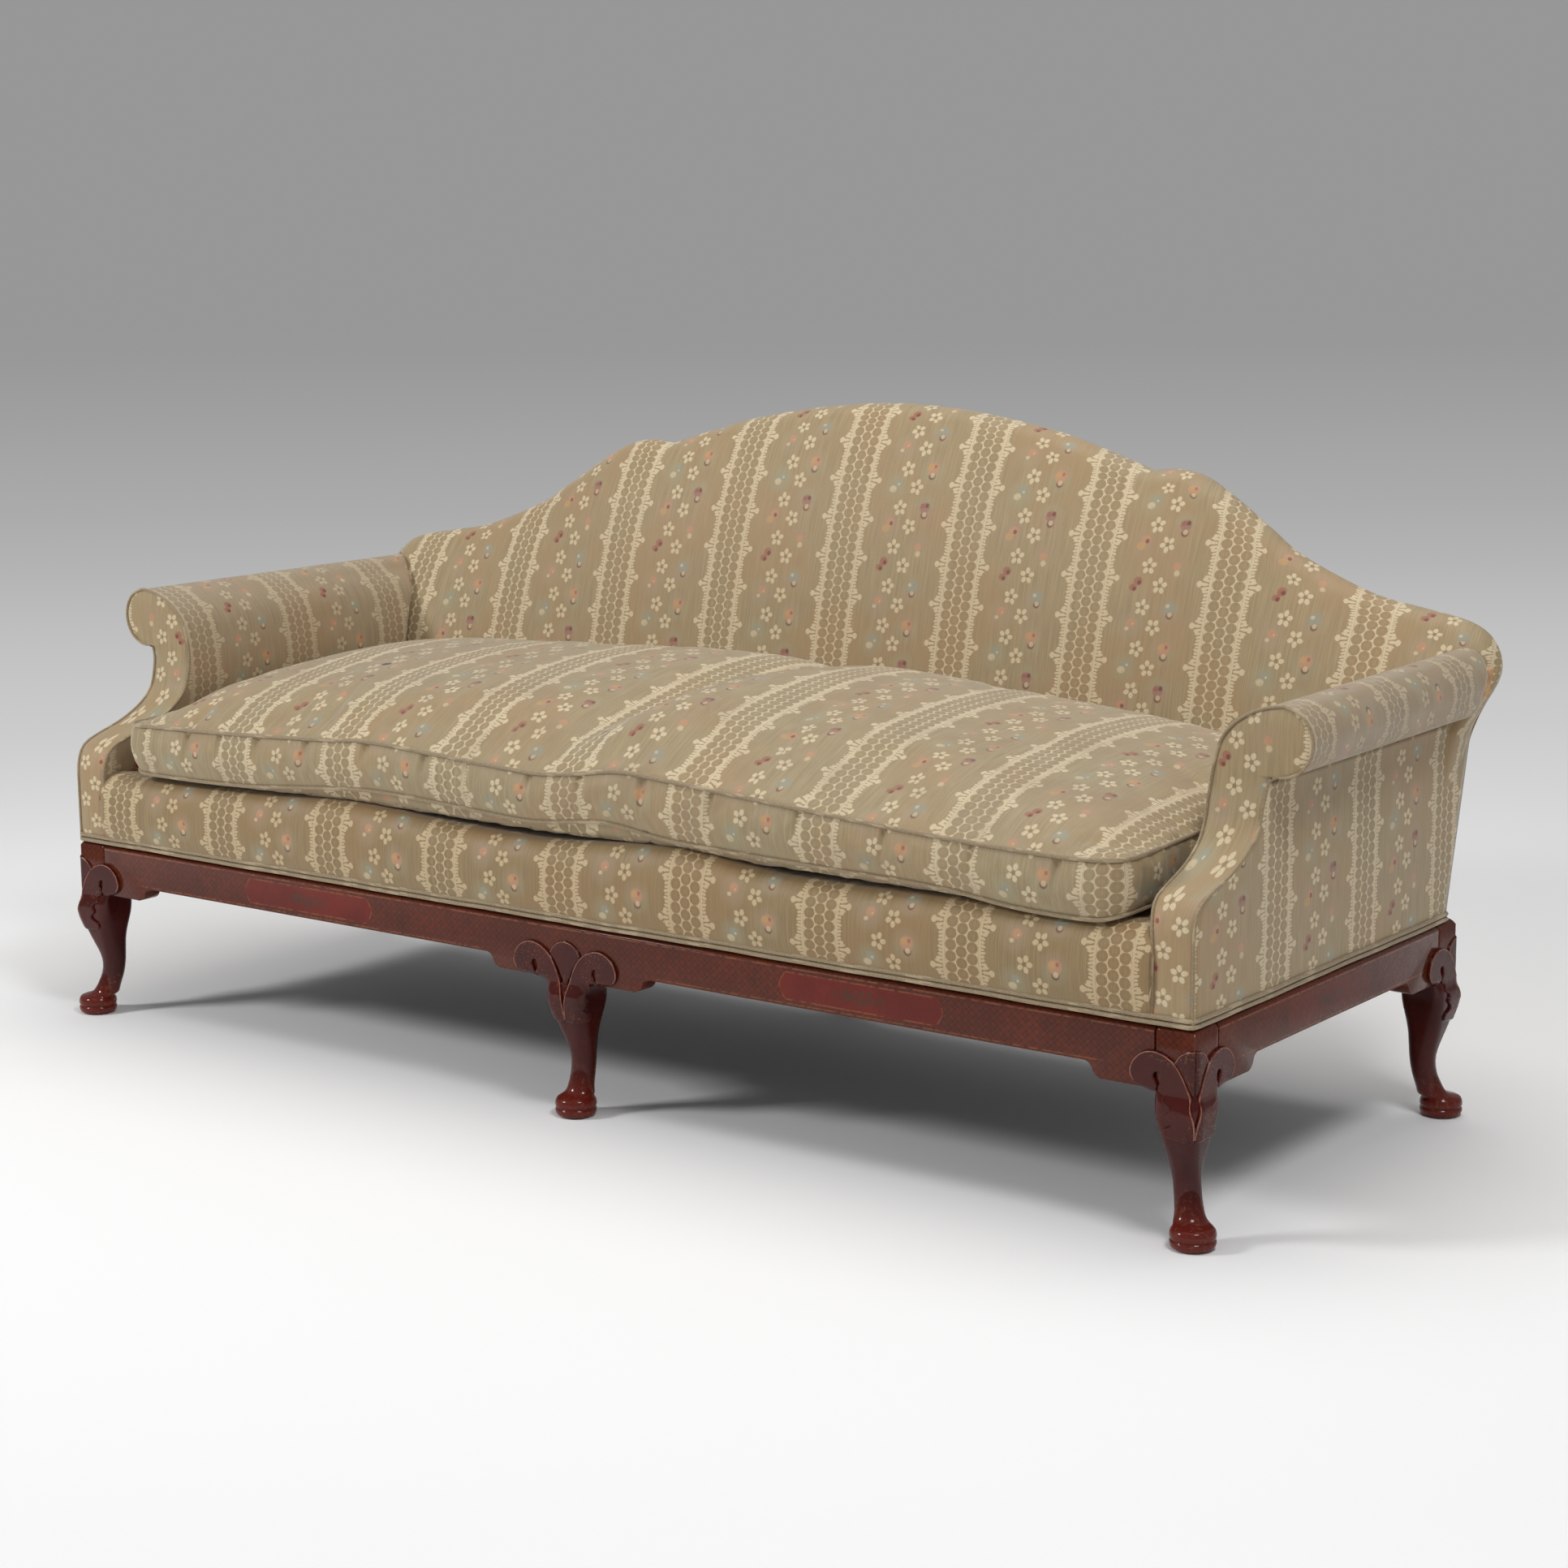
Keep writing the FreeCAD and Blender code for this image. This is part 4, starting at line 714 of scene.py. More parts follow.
def new_painted_rail(name, along_x):
    finish, tree, shader = lacquer_shader(name)
    where = place_of(tree)
    x, y, z = axes(tree, where)
    colour, cloud, dirt = lacquer_base(tree, where, RAIL_RED)
    a = x if along_x else y
    colour = diaper(tree, a, z - 0.256, colour)
    local = abs(a) - LONG_PANEL_AT if along_x else a - SIDE_PANEL_AT
    half_long = LONG_PANEL_HALF if along_x else SIDE_PANEL_HALF
    inside, edge = panel(local, z, half_long)
    bright = blend_paint(tree, cloud.ramp(0.35, 0.65), paint(98, 24, 16), paint(116, 31, 20))
    colour = blend_paint(tree, inside * (0.8 if along_x else 0.25), colour, bright)
    gold = painted_sprig(local * 1000.0, (z - 0.2545) * 1000.0, 1.5)
    worn = noise(tree, where, 120.0, 3.0).ramp(0.36, 0.56)
    colour = blend_paint(tree, gold * inside * worn * 0.8, colour, paint(70, 50, 36))
    colour = blend_paint(tree, edge * worn * (0.5 if along_x else 0.12), colour, GILT)
    line = abs(z - UPPER_LINE).ramp(0.0014, 0.0006) * 0.6
    line = line.most(abs(z - LOWER_LINE).ramp(0.0014, 0.0006) * runs_straight(x, y, along_x) * 0.5)
    colour = blend_paint(tree, line * worn, colour, GILT)
    finish_lacquer(tree, shader, colour, where, dirt)
    return finish


def runs_straight(x, y, along_x):
    """1 where the rail's lower edge runs straight, 0 at its brackets."""
    if along_x:
        return abs(abs(x) - 0.53).ramp(0.37, 0.36)
    return abs(y + 0.063).ramp(0.27, 0.26)


long_rail_paint = new_painted_rail("painted_long_rail", True)
side_rail_paint = new_painted_rail("painted_side_rail", False)
print("painted rails:", len(long_rail_paint.node_tree.nodes), "nodes")

# %% [markdown]
# The knee leaves are lacquered too, with fine specks of gold left on them in
# patches, and worn gilding on their raised rims.

# %% Carved lacquer and gilt rims
carved, tree, shader = lacquer_shader("carved_lacquer")
where = place_of(tree)
colour, cloud, dirt = lacquer_base(tree, where)
leafing = noise(tree, where, 300.0, 4.0, 0.65)
patch = noise(tree, where, 14.0, 1.0).ramp(0.46, 0.56)
colour = blend_paint(tree, leafing.ramp(0.54, 0.64) * patch * 0.45, colour, paint(140, 90, 60))
finish_lacquer(tree, shader, colour, where, dirt)

gilt_rim, tree, shader = new_finish("worn_gilding", Roughness=0.42, Coat_Weight=0.3, Coat_Roughness=0.2)
where = place_of(tree)
wear = noise(tree, where, 150.0, 4.0, 0.6)
join(tree, blend_paint(tree, wear.ramp(0.42, 0.66), paint(146, 88, 62), paint(104, 42, 32)),
     shader.inputs["Base Color"])
join(tree, wear.ramp(0.3, 0.7, 0.32, 0.5), shader.inputs["Roughness"])
bump(tree, shader, wear, 0.0003)
print("carving finishes ready")

# %% [markdown]
# ## The base
# The rails keep the CAD shape, because a long straight rail with cusped
# brackets is the same in both. A copy gets softened edges, since sharp edges
# catch no light and lacquered wood always has a small round.

# %% Rails with softened edges
def copy_of(node, name):
    """A copy of a CAD node's mesh, with its loose triangles joined."""
    piece = nodes[node].copy()
    piece.data = nodes[node].data.copy()
    for key in list(piece.keys()):
        del piece[key]
    piece.name = name
    piece.parent = None
    piece.data.materials.clear()
    scene.collection.objects.link(piece)
    work = bmesh.new()
    work.from_mesh(piece.data)
    bmesh.ops.remove_doubles(work, verts=work.verts, dist=1e-6)
    bmesh.ops.dissolve_limit(work, angle_limit=math.radians(0.6), verts=work.verts, edges=work.edges)
    work.to_mesh(piece.data)
    work.free()
    return piece


def only(piece):
    """Makes one object the only selected and the active one."""
    bpy.ops.object.select_all(action="DESELECT")
    piece.select_set(True)
    bpy.context.view_layer.objects.active = piece


def apply(piece, kind, **settings):
    only(piece)
    step = piece.modifiers.new("step", kind)
    for key, value in settings.items():
        setattr(step, key, value)
    bpy.ops.object.modifier_apply(modifier=step.name)


def face_outwards(piece, merge=None):
    """Turns a closed piece's faces outwards, after its doubles are merged."""
    only(piece)
    bpy.ops.object.mode_set(mode="EDIT")
    bpy.ops.mesh.select_all(action="SELECT")
    if merge:
        bpy.ops.mesh.remove_doubles(threshold=merge)
    bpy.ops.mesh.normals_make_consistent(inside=False)
    bpy.ops.object.mode_set(mode="OBJECT")


def ease(value, start, span):
    """From 0 to 1, slow at both ends."""
    share = min(max((value - start) / span, 0.0), 1.0)
    return share * share * (3 - 2 * share)


def dress(piece, finish, slot, *stands_for, body="frame"):
    """Hides the nodes that a piece stands for, and gives it its finish."""
    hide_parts(*stands_for)
    return wear_finish(piece, finish, body)


def wear_finish(piece, finish, body="frame"):
    piece.data.materials.clear()
    piece.data.materials.append(finish)
    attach(piece, body)
    return piece


def soften(node, name, finish):
    piece = copy_of(node, name)
    apply(piece, "BEVEL", width=0.0005, segments=2, limit_method="ANGLE", angle_limit=math.radians(28))
    only(piece)
    bpy.ops.object.shade_smooth_by_angle(angle=math.radians(32))
    return dress(piece, finish, "lacquered_wood", node)


for node, finish in (("front_rail", long_rail_paint), ("rear_rail", long_rail_paint),
                     ("left_side_rail", side_rail_paint), ("right_side_rail", side_rail_paint)):
    piece = soften(node, node + "_lacquered", finish)
    print(piece.name, len(piece.data.polygons), "faces")

# %% [markdown]
# ## Cabriole legs
# A carver saws the S shape from a square blank, then rounds it: a square knee,
# a round ankle and a turned pad. Here the leg grows upwards the same way, as
# one ring of points that is extruded, moved and resized from level to level.
# PAD_RINGS holds the turned pad as heights and radii. SHANK holds the levels
# above it as height, way of the centre along the diagonal, half width and
# corner radius.

# %% Sections of a leg
PAD_RINGS = [(0.0, 22.6), (1.2, 26.6), (3.6, 29.2), (8.0, 30.6), (11.4, 30.2), (12.4, 28.6), (13.6, 28.2),
             (14.6, 29.6), (16.4, 30.5), (22.0, 30.4), (26.0, 28.6), (29.0, 25.6)]
SHANK = [(31.5, -9.0, 22.6, 22.6), (38.0, -11.5, 19.8, 19.8), (50.0, -15.0, 18.5, 18.4),
         (64.0, -19.0, 17.9, 17.8), (82.0, -21.5, 18.0, 17.6), (98.0, -21.6, 19.7, 18.0),
         (114.0, -20.2, 22.5, 18.0), (130.0, -18.8, 25.4, 17.0), (146.0, -18.0, 28.4, 15.0),
         (160.0, -17.6, 31.2, 13.0), (174.0, -17.5, 33.0, 11.5), (188.0, -18.0, 32.7, 10.5),
         (198.0, -19.3, 31.7, 10.0), (205.0, -21.0, 30.6, 9.0)]


def drift(z):
    """The knee stands evenly on both sides of the corner, the foot a little more to the front."""
    return 7.0 * ease(z, 64.0, 76.0)


def round_square(angle, half, corner):
    """How far a square with round corners reaches from its centre, in a direction."""
    c, s = abs(math.cos(angle)), abs(math.sin(angle))
    flat = half - corner
    if c * half > s * half and s / c * half <= flat:
        return half / c
    if s / max(c, 1e-9) > 1 and c / s * half <= flat:
        return half / s
    along = flat * (c + s)
    return along + math.sqrt(max(along * along - (2 * flat * flat - corner * corner), 0))


def sections_of(kind):
    """Every ring of a leg: x, y, z, half width, corner radius, in millimetres from the pad's axis."""
    rings = [(0, 0, z, r, r) for z, r in PAD_RINGS]
    for z, back, half, corner in SHANK:
        rings.append((0 if kind == "middle" else back, -back - drift(z), z, half, corner))
    return rings


print("a leg has", len(PAD_RINGS) + len(SHANK), "rings below the rail")

# %% Grow a leg ring by ring
STEPS = 48
CORNER_FOOT, MIDDLE_FOOT = (1023, 10), (0, 10)


def grow_leg(name, kind, foot):
    """Extrudes a ring of points from the floor up through the leg's sections."""
    rings = sections_of(kind)
    bpy.ops.mesh.primitive_circle_add(
        vertices=STEPS, radius=rings[0][3] * 0.001, fill_type="NGON",
        location=place((foot[0], foot[1], 0)))
    leg = bpy.context.view_layer.objects.active
    leg.name = name
    bpy.ops.object.transform_apply(location=True, rotation=True, scale=True)
    bpy.ops.object.mode_set(mode="EDIT")
    for before, after in zip(rings, rings[1:]):
        step = [(b - a) * 0.001 for a, b in zip(before[:3], after[:3])]
        bpy.ops.mesh.extrude_region_move(TRANSFORM_OT_translate={"value": step})
        middle = place((foot[0] + after[0], foot[1] + after[1], after[2]))
        share = after[3] / before[3]
        bpy.ops.transform.resize(value=(share, share, 1), center_override=middle)
    top = rings[-1][2]
    if kind == "corner":
        blocks = [(972, -6, 1032, 54, 206.0), (972, -6, 1032, 54, 282.0), (972, 0, 1026, 54, 288.0)]
    else:
        blocks = [(-30, 26, 30, 46, 206.0), (-30, 26, 30, 46, 288.0)]
    for low_x, low_y, high_x, high_y, z in blocks:
        bpy.ops.mesh.extrude_region_move(TRANSFORM_OT_translate={"value": (0, 0, (z - top) * 0.001)})
        top = z
    bpy.ops.object.mode_set(mode="OBJECT")
    shape_rings(leg, rings, blocks, foot)
    face_outwards(leg)
    return leg


def shape_rings(leg, rings, blocks, foot):
    """Squares the rings that the carver leaves square. The pad and the ankle stay round."""
    points = leg.data.vertices
    angles = [2 * math.pi * (j + 0.5) / STEPS for j in range(STEPS)]
    for k, (x, y, z, half, corner) in enumerate(rings):
        for j, angle in enumerate(angles):
            reach = round_square(angle, half, corner)
            at = (foot[0] + x + reach * math.cos(angle), foot[1] + y + reach * math.sin(angle), z)
            points[k * STEPS + j].co = place(at)
    for k, (x0, y0, x1, y1, z) in enumerate(blocks):
        for j, angle in enumerate(angles):
            reach = round_square(angle, 1.0, 0.04)
            at = ((x0 + x1) / 2 + reach * math.cos(angle) * (x1 - x0) / 2,
                  (y0 + y1) / 2 + reach * math.sin(angle) * (y1 - y0) / 2, z)
            points[(len(rings) + k) * STEPS + j].co = place(at)


corner_leg = grow_leg("front_right_leg_lacquered", "corner", CORNER_FOOT)
middle_leg = grow_leg("front_middle_leg_lacquered", "middle", MIDDLE_FOOT)
print("corner leg:", len(corner_leg.data.vertices), "points, before it is smoothed")

# %% [markdown]
# One level of subdivision rounds the S. The square post above keeps its
# edges, because a crease marks them.

# %% Smooth the legs, and copy them to the other corners
def smooth_leg(leg, post_height=0.2055):
    crease = leg.data.attributes.new("crease_edge", "FLOAT", "EDGE")
    for edge in leg.data.edges:
        a, b = (leg.data.vertices[i].co for i in edge.vertices)
        crease.data[edge.index].value = 0.95 if min(a.z, b.z) > post_height else 0.0
    apply(leg, "SUBSURF", levels=1, render_levels=1)
    only(leg)
    bpy.ops.object.shade_smooth_by_angle(angle=math.radians(40))


BODY_DEPTH = 0.739
MIDDLE_Y = FRONT + BODY_DEPTH / 2


def mirrored_copy(piece, name, across_x, across_y):
    """A copy on the other side of the sofa, with its own mesh and its faces turned outwards."""
    twin = piece.copy()
    twin.data = piece.data.copy()
    twin.name = name
    scene.collection.objects.link(twin)
    flip = Matrix.Diagonal((-1 if across_x else 1, -1 if across_y else 1, 1, 1))
    shift = Matrix.Translation((0, 2 * MIDDLE_Y if across_y else 0, 0))
    twin.data.transform(shift @ flip)
    if across_x != across_y:
        twin.data.flip_normals()
    return twin


smooth_leg(corner_leg)
smooth_leg(middle_leg)
# The other four places: which one is copied, and across which middle line.
COPIES = (("front_left", "front_right", True, False), ("rear_right", "front_right", False, True),
          ("rear_left", "front_right", True, True), ("rear_middle", "front_middle", False, True))
legs = {"front_right": corner_leg, "front_middle": middle_leg}
for spot, source, over_x, over_y in COPIES:
    legs[spot] = mirrored_copy(legs[source], spot + "_leg_lacquered", over_x, over_y)
for spot, leg in legs.items():
    dress(leg, lacquer, "lacquered_wood", spot + "_leg")
print("legs:", ", ".join(sorted(legs)))

# %% [markdown]
# ## Knee leaves
# The leaves are a flat plate with an ear, a hollow like a keyhole and a
# scalloped point. The carver cuts them from the solid, so they lie flat on the
# rail and bend round the knee below it. Here the plate is drawn as a filled
# curve, thickened and remeshed so that its edges are soft, and then each of
# its points is laid on the leg: s is the way round the leg from its middle
# line, z the height, and t the distance off the wood.

# %% Where the leaves lie
def levels_at(z):
    """The leg's section at a height, between the rings above and below it."""
    heights = [ring[0] for ring in SHANK]
    return [float(np.interp(z, heights, [ring[k] for ring in SHANK])) for k in (1, 2, 3)]


def walk_round(kind, z):
    """Points round the leg's section at a height, and how far along each is from the middle line."""
    back, half, corner = levels_at(z)
    start = -math.pi / 2 if kind == "middle" else -math.pi / 4
    turn_by = np.linspace(0, math.pi * 0.95, 90)
    reach = np.array([round_square(start + a, half, corner) for a in turn_by])
    x = reach * np.cos(start + turn_by)
    y = reach * np.sin(start + turn_by)
    run = np.concatenate([[0], np.cumsum(np.hypot(np.diff(x), np.diff(y)))])
    return x, y, run, back


def lay_on_knee(kind, foot, flat):
    """Lays flat points (s, z, t), with s from 0 outwards on the right-hand side, on the leg."""
    cache, out = {}, []
    for s, z, t in flat:
        key = round(min(z, 205.0) * 2)
        if key not in cache:
            cache[key] = walk_round(kind, key / 2)
        x, y, run, back = cache[key]
        along = max(s, 0.0)
        px, py = np.interp(along, run, x), np.interp(along, run, y)
        qx, qy = np.interp(along + 1.5, run, x), np.interp(along + 1.5, run, y)
        way = math.hypot(qx - px, qy - py) or 1.0
        if s < 0:
            px, py, qx, qy = [n + s * d / way for n, d in
                              ((px, qx - px), (py, qy - py), (qx, qx - px), (qy, qy - py))]
        nx, ny = (qy - py) / way, -(qx - px) / way
        wrapped = np.array([px + nx * t, py + ny * t])
        if kind == "middle":
            wrapped += (foot[0], foot[1] - back - drift(z))
            level = np.array([s + foot[0], -7.2 - t])
        else:
            wrapped += (foot[0] + back, foot[1] - back - drift(z))
            bend = min(max((18.0 - s) / 8.0, 0.0), math.pi / 4)
            level = np.array([1025.2 + (8 + t) * math.cos(bend),
                              2.0 - (8 + t) * math.sin(bend) + max(s - 18.0, 0)])
        share = ease(z, 178.0, 34.0)
        x, y = wrapped * (1 - share) + level * share
        out.append((x, y, z))
    return out


print("the section at the knee:", [round(n, 1) for n in levels_at(174)])

# %% Draw the leaf, the petal and their rims
LEAF = [(3.5, 146), (10, 143.5), (24, 144.5), (36, 146), (43, 149), (44, 155), (38, 159), (33, 164),
        (37, 170), (42, 175), (38, 181), (38, 186), (46, 191), (47.5, 196), (46, 200), (53, 204),
        (55, 209), (50.5, 216), (50, 223), (54, 229.5), (60, 229), (63.5, 223), (60.5, 217), (59.5, 210),
        (63, 204.5), (72, 203), (82, 206), (91, 213), (95, 222), (93, 234), (86, 244), (76, 251),
        (63, 254), (50, 252), (39, 247), (30, 240), (22, 230), (15, 216), (9.5, 198), (6, 180), (4, 162)]
PETAL = [(-2, 196), (5, 206), (11, 219), (19, 232), (27, 242), (24, 250), (15, 257), (6, 260.5), (-2, 261),
         (-2, 256), (-2, 246), (-2, 232), (-2, 218), (-2, 206)]
RIM = [(3.0, 147), (4.2, 162), (6.2, 180), (9.7, 198), (15.2, 216), (22.2, 230), (30.2, 240), (39, 247),
       (50, 252), (63, 254), (76, 251), (86, 244), (93, 234), (95, 222), (91, 213)]
PETAL_RIM = [(0, 260.6), (6, 260), (15, 256.6), (23, 249.6), (26.5, 243)]


def add_spline(line, flat, steps):
    spline = line.splines.new("BEZIER")
    spline.bezier_points.add(len(flat) - 1)
    for point, (a, b) in zip(spline.bezier_points, flat):
        point.co = (a, b, 0)
        point.handle_left_type = point.handle_right_type = "AUTO"
    spline.resolution_u = steps
    return spline


def closed_curve(flat, deep, soft):
    """A filled flat curve through a loop of points, thickened, as a mesh."""
    line = bpy.data.curves.new("template", "CURVE")
    line.dimensions, line.fill_mode = "2D", "BOTH"
    line.extrude, line.bevel_depth, line.bevel_resolution = deep, soft, 2
    add_spline(line, flat, 5).use_cyclic_u = True
    return mesh_of(line, "plate")


def open_tube(flat, thick):
    line = bpy.data.curves.new("rim", "CURVE")
    line.dimensions = "3D"
    line.bevel_depth, line.bevel_resolution = thick, 3
    line.use_fill_caps = True
    add_spline(line, flat, 6)
    return mesh_of(line, "rim")


def mesh_of(line, name):
    holder = bpy.data.objects.new(name, line)
    scene.collection.objects.link(holder)
    only(holder)
    bpy.ops.object.convert(target="MESH")
    return bpy.context.view_layer.objects.active


def shifted(line, shift):
    """A flat line moved outwards at the rail, and drawn in where the two leaves meet on the knee."""
    out = []
    for a, b in line:
        share = ease(b, 165, 60)
        out.append((a + shift * share - 2.6 * (1 - share), b))
    return out


def carve_plate(loop, shift):
    """The plate, with soft edges and even faces, in low relief."""
    plate = closed_curve(shifted(loop, shift), 1.5, 1.5)
    plate.data.remesh_voxel_size = 1.2
    only(plate)
    bpy.ops.object.voxel_remesh()
    apply(plate, "SMOOTH", iterations=3, factor=0.5)
    return plate


def lay(piece, kind, foot, lift):
    """Lays a flat piece on the knee, lift off the wood at its middle, and mirrors it for the other side."""
    flat = [(p.co.x, p.co.y, p.co.z + lift) for p in piece.data.vertices]
    laid = lay_on_knee(kind, foot, flat)
    for point, at in zip(piece.data.vertices, laid):
        point.co = place(at)
    twin = piece.copy()
    twin.data = piece.data.copy()
    scene.collection.objects.link(twin)
    for point in twin.data.vertices:
        x, y, z = point.co
        if kind == "middle":
            point.co = (2 * foot[0] * 0.001 - x, y, z)
        else:
            point.co = (HALF_WIDTH - (y - FRONT), HALF_WIDTH - x + FRONT, z)
    twin.data.flip_normals()
    return [piece, twin]


def joined(pieces, name):
    bpy.ops.object.select_all(action="DESELECT")
    for piece in pieces:
        piece.select_set(True)
    bpy.context.view_layer.objects.active = pieces[0]
    bpy.ops.object.join()
    whole = bpy.context.view_layer.objects.active
    whole.name = name
    face_outwards(whole)
    bpy.ops.object.shade_smooth_by_angle(angle=math.radians(50))
    return whole


def knee_leaves(kind, foot, shift, name):
    plates = lay(carve_plate(LEAF, shift), kind, foot, 0.3)
    plates += lay(carve_plate(PETAL, shift * 1.6), kind, foot, -1.4)
    rims = lay(open_tube(shifted(RIM, shift), 0.9), kind, foot, 2.9)
    rims += lay(open_tube(shifted(PETAL_RIM, shift * 1.6), 0.8), kind, foot, 1.2)
    return joined(plates, name), joined(rims, name + "_rims")


carvings = {"front_middle": knee_leaves("middle", MIDDLE_FOOT, 0.0, "front_middle_leaves")}
carvings["front_right"] = knee_leaves("corner", CORNER_FOOT, 7.0, "front_right_leaves")
for side, source, over_x, over_y in COPIES:
    carvings[side] = tuple(mirrored_copy(part, side + "_leaves" + tail, over_x, over_y)
                           for part, tail in zip(carvings[source], ("", "_rims")))
for side, (leaves, rims) in carvings.items():
    dress(leaves, carved, "carved_lacquer", side.split("_")[0] + "_knee_carvings")
    wear_finish(rims, gilt_rim)
print("leaves on", len(carvings), "knees,", len(carvings["front_right"][0].data.polygons), "faces each")

# %% [markdown]
# ## Upholstery
# Tight upholstery takes its shape from the frame and the stuffing, so these
# pieces are surfaces through measured lines. Each panel is a grid of points
# with its own cloth coordinates in metres, so that the stripes run as the
# upholsterer laid them. Panels are then sewn: their common points are merged.

# %% Lines and panels
def through(points, count):
    """A smooth line through some points, at count even steps."""
    points = np.array(points, float)
    ring = np.vstack([2 * points[:1] - points[1:2], points, 2 * points[-1:] - points[-2:-1]])
    out = []
    for k in range(1, len(ring) - 2):
        a, b, c, d = ring[k - 1:k + 3]
        steps = np.linspace(0, 1, 24, endpoint=False)[:, None]
        out.append(0.5 * (2 * b + (c - a) * steps + (2 * a - 5 * b + 4 * c - d) * steps ** 2
                          + (3 * b - a - 3 * c + d) * steps ** 3))
    return evened(np.vstack(out + [ring[-2:-1]]), count)


def run_of(line):
    """How far along a line each of its points is."""
    return np.concatenate([[0], np.cumsum(np.linalg.norm(np.diff(line, axis=0), axis=1))])


def evened(line, count):
    """The same line with count points at even steps."""
    run = run_of(line)
    return np.stack([np.interp(np.linspace(0, run[-1], count), run, line[:, k])
                     for k in range(line.shape[1])], -1)


def closed_round(*grids):
    """Grids with their first column once more at the end."""
    return [np.concatenate([grid, grid[:, :1]], 1) for grid in map(np.array, grids)]


def flat_area(piece):
    """The area of one side of a thin piece, in square metres."""
    return round(sum(face.area for face in piece.data.polygons) / 2, 3)


def panel_piece(name, panels, hole=False):
    """One piece from panels. A panel is a grid of places in mm and a grid of cloth places in mm."""
    points, faces, cloth = [], [], []
    for grid, weave in panels:
        rows, columns = grid.shape[:2]
        first = len(points)
        points += [tuple(p) for p in place(grid.reshape(-1, 3))]
        flat = weave.reshape(-1, 2) * 0.001
        for i in range(rows - 1):
            for near in range(i * columns, i * columns + columns - 1):
                corner = [near, near + 1, near + columns + 1, near + columns]
                faces.append([first + k for k in corner])
                cloth += [tuple(flat[k]) for k in corner]
    mesh = bpy.data.meshes.new(name)
    mesh.from_pydata(points, [], faces)
    layer = mesh.uv_layers.new(name="Cloth")
    layer.data.foreach_set("uv", np.array(cloth, np.float32).ravel())
    piece = bpy.data.objects.new(name, mesh)
    scene.collection.objects.link(piece)
    face_outwards(piece, merge=0.0002)
    if hole:
        fill_slits(piece)
    bpy.ops.object.shade_smooth_by_angle(angle=math.radians(60))
    return piece


def fill_slits(piece, open_edge=False):
    """Closes each slit in a piece by itself. An open panel keeps its outer edge."""
    work = bmesh.new()
    work.from_mesh(piece.data)
    groups, left = [], {edge for edge in work.edges if edge.is_boundary}
    while left:
        start = min(left, key=lambda edge: edge.index)
        left.discard(start)
        group, queue = [start], [start]
        while queue:
            for vert in queue.pop().verts:
                for edge in vert.link_edges:
                    if edge in left:
                        left.discard(edge)
                        group.append(edge)
                        queue.append(edge)
        groups.append(group)
    groups.sort(key=lambda group: sum(edge.calc_length() for edge in group))
    for group in groups[:-1] if open_edge else groups:
        bmesh.ops.triangle_fill(work, use_beauty=True, edges=group)
    bmesh.ops.recalc_face_normals(work, faces=work.faces)
    work.to_mesh(piece.data)
    work.free()
    lay_cloth_on_new_faces(piece.data)


def lay_cloth_on_new_faces(mesh):
    """Gives the faces that closed a hole the cloth places of their neighbours."""
    work = bmesh.new()
    work.from_mesh(mesh)
    layer = work.loops.layers.uv.active
    work.faces.ensure_lookup_table()
    for face in work.faces:
        if all(loop[layer].uv.length < 1e-9 for loop in face.loops):
            for loop in face.loops:
                for other in loop.vert.link_loops:
                    if other[layer].uv.length > 1e-9:
                        loop[layer].uv = other[layer].uv
                        break
    work.to_mesh(mesh)
    work.free()


def pair_of(make, name):
    """A right-hand piece and its left-hand twin, whose stripes mirror too."""
    piece = make("right_" + name)
    return piece, mirrored_copy(piece, "left_" + name, True, False)


def front_of_back(z):
    return 643.0 + 0.2 * (z - BASE_TOP)


def rear_of_back(z):
    return 715.0 + 0.25 * (z - BASE_TOP)


print("panel helpers ready")

# %% [markdown]
# ### The back
# The crest is one arch between two cusps, then a shoulder and a hollow that
# runs down to each arm. The padding is thick in the middle and rolls away
# backwards within about 100 mm of the edge. The rings of the mesh follow the
# outline, so that the roll has the same section all the way round.

# %% Outline of the back
CREST = [(0, 975), (60, 973), (120, 968), (200, 958), (300, 940), (385, 917), (440, 900), (465, 892)]
SHOULDER = [(465, 892), (515, 896), (560, 886), (612, 858), (675, 818), (735, 781), (850, 737), (935, 721),
            (990, 712), (1022, 703), (1045, 689), (1060, 670), (1067, 650), (1067, 632), (1061, 612),
            (1051, 592), (1042, 570), (1034, 540), (1028, 490), (1025, 430), (1025, 300)]
half = np.vstack([through(CREST, 70)[:-1], through(SHOULDER, 230)])
floor_line = np.stack([np.linspace(1025, -1025, 140), np.full(140, float(CLOTH_FOOT))], -1)
outline = np.vstack([half, floor_line, (half * (-1, 1))[::-1][:-1]])
step = np.roll(outline, -1, 0) - np.roll(outline, 1, 0)
step /= np.linalg.norm(step, axis=1)[:, None]
inward = np.stack([step[:, 1], -step[:, 0]], -1)
for _ in range(6):
    inward = (np.roll(inward, 1, 0) + inward + np.roll(inward, -1, 0)) / 3
inward /= np.linalg.norm(inward, axis=1)[:, None]
rolled = np.clip((outline[:, 1] - 560) / 90, 0, 1)
print("outline of the back:", len(outline), "points")

# %% Rings of the back
ROLL, EDGE = 60.0, 17.0


def spine_of(points):
    x = np.clip(points[:, 0], -800, 800)
    return np.stack([x, 610 - 110 * (np.abs(x) / 800) ** 2], -1)


